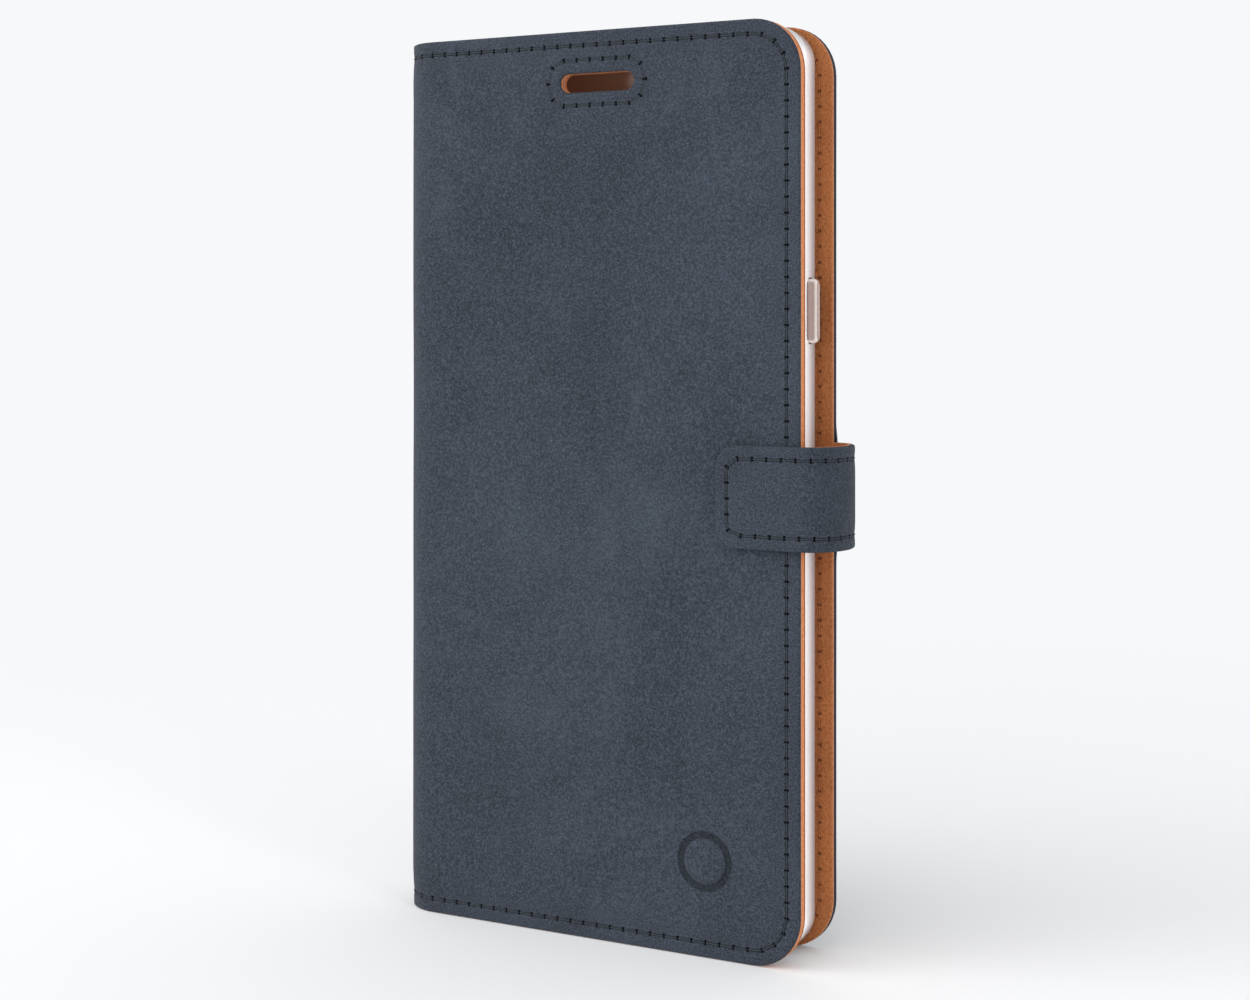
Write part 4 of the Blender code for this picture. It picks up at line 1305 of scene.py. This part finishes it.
# Ports in the tray's ends: (x, width, height, end), where end is -1 at the bottom and 1 at the top
PORTS = ((0, 12, 5, -1), (-21, 6, 6, -1), (20, 13, 2.6, -1), (12, 2, 2, 1))
CUT_PAST = 3.0
CUT_ROUND = 0.49


def pad_box(node):
    """Where a button pad shows: a little narrower than its solid, and lower where the spine folds over it."""
    low, high = box_mm(node)
    if low[0] < 0:
        return low + (SPINE_SIDE_TRIM, PAD_FRONT_TRIM, 0), high - (0, PAD_BACK_SHIFT, 0)
    return low + (0, PAD_FRONT_TRIM, 0), high + (0, PAD_BACK_SHIFT, 0)


def make_tray():
    low, high = box_mm("phone_tray")
    half_w, half_h = (high[0] - low[0]) / 2, (high[2] - low[2]) / 2
    back, rim = high[1], low[1]
    rings = []

    def ring(inset, y):
        rings.append(fixed_ring(half_w - inset, half_h - inset, TRAY_CORNER - inset, y))

    turn = np.linspace(0, math.pi / 2, 7)
    waist = WALL_BULGE * 0.8
    for a in turn:
        ring(waist + TRAY_BACK_ROUND * (1 - math.sin(a)), back - TRAY_BACK_ROUND * (1 - math.cos(a)))
    for share in np.linspace(0, 1, 12)[1:-1]:
        bulge = WALL_BULGE * (2 * share - 1) ** 2
        ring(bulge, back - TRAY_BACK_ROUND + share * (rim - back + TRAY_ROUND + TRAY_BACK_ROUND))
    for a in turn:
        ring(waist + TRAY_ROUND * (1 - math.cos(a)), rim + TRAY_ROUND * (1 - math.sin(a)))
    lip = TRAY_WALL + LIP_REACH
    ring(lip - 0.2, rim)
    ring(lip, rim + 0.12)
    ring(lip, rim + TRAY_LIP)
    ring(TRAY_WALL + 0.1, rim + TRAY_LIP + 0.35)
    ring(TRAY_WALL, rim + TRAY_LIP + 0.9)
    ring(TRAY_WALL, back - TRAY_FLOOR - 1.2)
    ring(TRAY_WALL + 0.35, back - TRAY_FLOOR - 0.35)
    ring(TRAY_WALL + 1.2, back - TRAY_FLOOR)
    tray = loft("clear_phone_tray", rings, TPU)
    face_outward(tray)
    middle = (back + rim) / 2 - 0.1
    cutters = [block((-WINDOW_WIDTH / 2, back - 4, WINDOW_CENTRE[1] - WINDOW_HEIGHT / 2),
                     (WINDOW_WIDTH / 2, back + 2, WINDOW_CENTRE[1] + WINDOW_HEIGHT / 2), WINDOW_RADIUS)]
    for x, width, height, end in PORTS:
        z_low, z_high = sorted((end * (half_h - CUT_PAST), end * (half_h + CUT_PAST)))
        cutters.append(block((x - width / 2, middle - height / 2, z_low),
                             (x + width / 2, middle + height / 2, z_high), height * CUT_ROUND, along="z"))
    for node in ("power_button_pad", "volume_button_pad"):
        pad_low, pad_high = pad_box(node)
        side = np.sign(pad_low[0])
        x_low, x_high = sorted((side * (half_w - CUT_PAST), side * (half_w + CUT_PAST)))
        cutters.append(block((x_low, pad_low[1] - PAD_GAP, pad_low[2] - PAD_GAP),
                             (x_high, pad_high[1] + PAD_GAP, pad_high[2] + PAD_GAP),
                             (pad_high[1] - pad_low[1] + 2 * PAD_GAP) * CUT_ROUND, along="x"))
    carve(tray, cutters)
    tray.data.shade_smooth()
    tray.data.set_sharp_from_angle(angle=math.radians(35))
    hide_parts("phone_tray")
    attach(tray, "back_cover")


def make_buttons():
    for node in ("power_button_pad", "volume_button_pad"):
        low, high = pad_box(node)
        side = np.sign(low[0])
        centre = (low + high) / 2
        half_y, half_z = (high[1] - low[1]) / 2, (high[2] - low[2]) / 2
        rings = []
        depth = high[0] - low[0]
        outer = max(abs(low[0]), abs(high[0]))
        profile = [(0.35, outer - depth), (0.0, outer - depth + 0.3), (0.0, outer - PAD_ROUND)]
        profile += [(PAD_ROUND * (1 - math.cos(a)), outer - PAD_ROUND + PAD_ROUND * math.sin(a))
                    for a in np.linspace(0.2, math.pi / 2, 6)]
        profile += [(PAD_ROUND + 0.35, outer - 0.02), (PAD_ROUND + 0.5, outer - 0.12)]
        for inset, x in profile:
            ring = fixed_ring(half_y - inset, half_z - inset, (half_y - inset) * 0.98, 0.0, 8)
            rings.append(np.stack([np.full(len(ring), side * x), centre[1] + ring[:, 0],
                                   centre[2] + ring[:, 2]], axis=1))
        pad = loft(node + "_piece", rings, PAD_TPU)
        face_outward(pad)
        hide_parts(node)
        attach(pad, node.replace("_pad", ""))


def dress_hidden():
    """Materials for the CAD pieces that lie between the layers."""
    board = hidden_material("grey_board", (150, 145, 135), 0.95)
    steel = hidden_material("plated_steel", (190, 192, 196), 0.35, 1.0)
    film = hidden_material("adhesive_film", (225, 225, 220), 0.4)
    finishes = {"back_stiffener_board": board, "front_stiffener_board": board, "strap_magnet": steel,
                "front_catch_plate": steel, "tray_adhesive_film": film}
    for node, material in finishes.items():
        obj = frame["nodes"][node]
        obj.data.materials.clear()
        obj.data.materials.append(material)


# ---------------------------------------------------------------- stage

# The camera that fits the case's corners and seams in the photograph
CAMERA_PLACE = (203.47, -363.97, 33.03)
CAMERA_AZIMUTH = 29.56
CAMERA_LENS = 62.1
CAMERA_SHIFT = -0.1536


def make_camera():
    """A level camera with a falling lens shift, which keeps uprights upright."""
    data = bpy.data.cameras.new("camera")
    data.lens = CAMERA_LENS
    data.sensor_width = 36.0
    data.clip_start = 0.01
    data.clip_end = 100
    camera = add_object("camera", data)
    camera.location = Vector(CAMERA_PLACE) * MM
    camera.rotation_mode = "XYZ"
    camera.rotation_euler = (math.pi / 2, 0, math.radians(CAMERA_AZIMUTH))
    # The shift belongs to this view only; a camera that is turned by quaternion looks straight ahead.
    curve = data.driver_add("shift_y").driver
    mode = curve.variables.new()
    mode.name = "mode"
    mode.targets[0].id = camera
    mode.targets[0].data_path = "rotation_mode"
    curve.expression = f"{CAMERA_SHIFT} * mode"
    bpy.context.scene.camera = camera


BACKGROUND = linear(247, 248, 250)
FLOOR_HALF = 6000.0
FLOOR_GAP = 0.05
FLOOR_FADE = (170.0, 420.0)


def make_floor():
    """A pale floor that is lit near the case and fades to the background's colour."""
    corners = ((-1, -1), (1, -1), (1, 1), (-1, 1))
    mesh = bpy.data.meshes.new("studio_floor")
    mesh.from_pydata([Vector((x * FLOOR_HALF, y * FLOOR_HALF, -TOP - FLOOR_GAP)) * MM for x, y in corners],
                     [], [(0, 1, 2, 3)])
    floor = add_object("studio_floor", mesh)
    g = Graph("pale_floor", Roughness=0.9, Specular_IOR_Level=0.1)
    g.set(Base_Color=(0.855, 0.862, 0.875, 1.0), Emission_Color=(1, 1, 1, 1), Emission_Strength=0.05)
    away = g.node("ShaderNodeVectorMath", {0: g.node("ShaderNodeNewGeometry").outputs["Position"]},
                  operation="LENGTH").outputs["Value"]
    paper = g.node("ShaderNodeEmission", {0: BACKGROUND}).outputs[0]
    far = g.span(away, FLOOR_FADE[0] * MM, FLOOR_FADE[1] * MM)
    fade = g.node("ShaderNodeMixShader", {0: far, 1: g.shader.outputs[0], 2: paper})
    g.tree.links.new(fade.outputs[0], g.output.inputs[0])
    mesh.materials.append(g.material)


def make_light(name, kind, energy, direction, **settings):
    """A light that shines from the given direction; its settings are in Blender's units."""
    data = bpy.data.lights.new(name, kind)
    data.energy = energy
    for key, value in settings.items():
        setattr(data, key, value)
    light = add_object(name, data)
    light.rotation_mode = "QUATERNION"
    light.rotation_quaternion = (-Vector(direction)).to_track_quat("-Z", "Y")
    return light


def make_studio():
    """Soft studio light, with a background that only the camera sees."""
    scene = bpy.context.scene
    scene.view_settings.view_transform = "Standard"
    world = bpy.data.worlds.new("studio")
    scene.world = world
    world.use_nodes = True
    tree = world.node_tree
    tree.nodes.clear()
    output = tree.nodes.new("ShaderNodeOutputWorld")
    seen = tree.nodes.new("ShaderNodeBackground")
    seen.inputs[0].default_value = BACKGROUND
    glow = tree.nodes.new("ShaderNodeBackground")
    glow.inputs[0].default_value = (1, 1, 1, 1)
    glow.inputs[1].default_value = 0.72
    path = tree.nodes.new("ShaderNodeLightPath")
    pick = tree.nodes.new("ShaderNodeMixShader")
    tree.links.new(path.outputs["Is Camera Ray"], pick.inputs[0])
    tree.links.new(glow.outputs[0], pick.inputs[1])
    tree.links.new(seen.outputs[0], pick.inputs[2])
    tree.links.new(pick.outputs[0], output.inputs[0])
    make_light("key", "SUN", 0.95, (-0.35, -0.8, 0.9), angle=math.radians(80))
    left = make_light("left_softbox", "AREA", 2.3, (-0.75, -0.6, 0.3), size=0.5)
    left.location = Vector((-600, -520, 200)) * MM
    strip = make_light("right_strip", "AREA", 0.5, (0.9, -0.5, 0.25), shape="RECTANGLE", size=0.08,
                       size_y=0.5)
    strip.location = Vector((520, -260, 150)) * MM


make_front()
make_back()
make_strap()
make_pockets()
make_tray()
make_buttons()
dress_hidden()
make_floor()
make_camera()
make_studio()
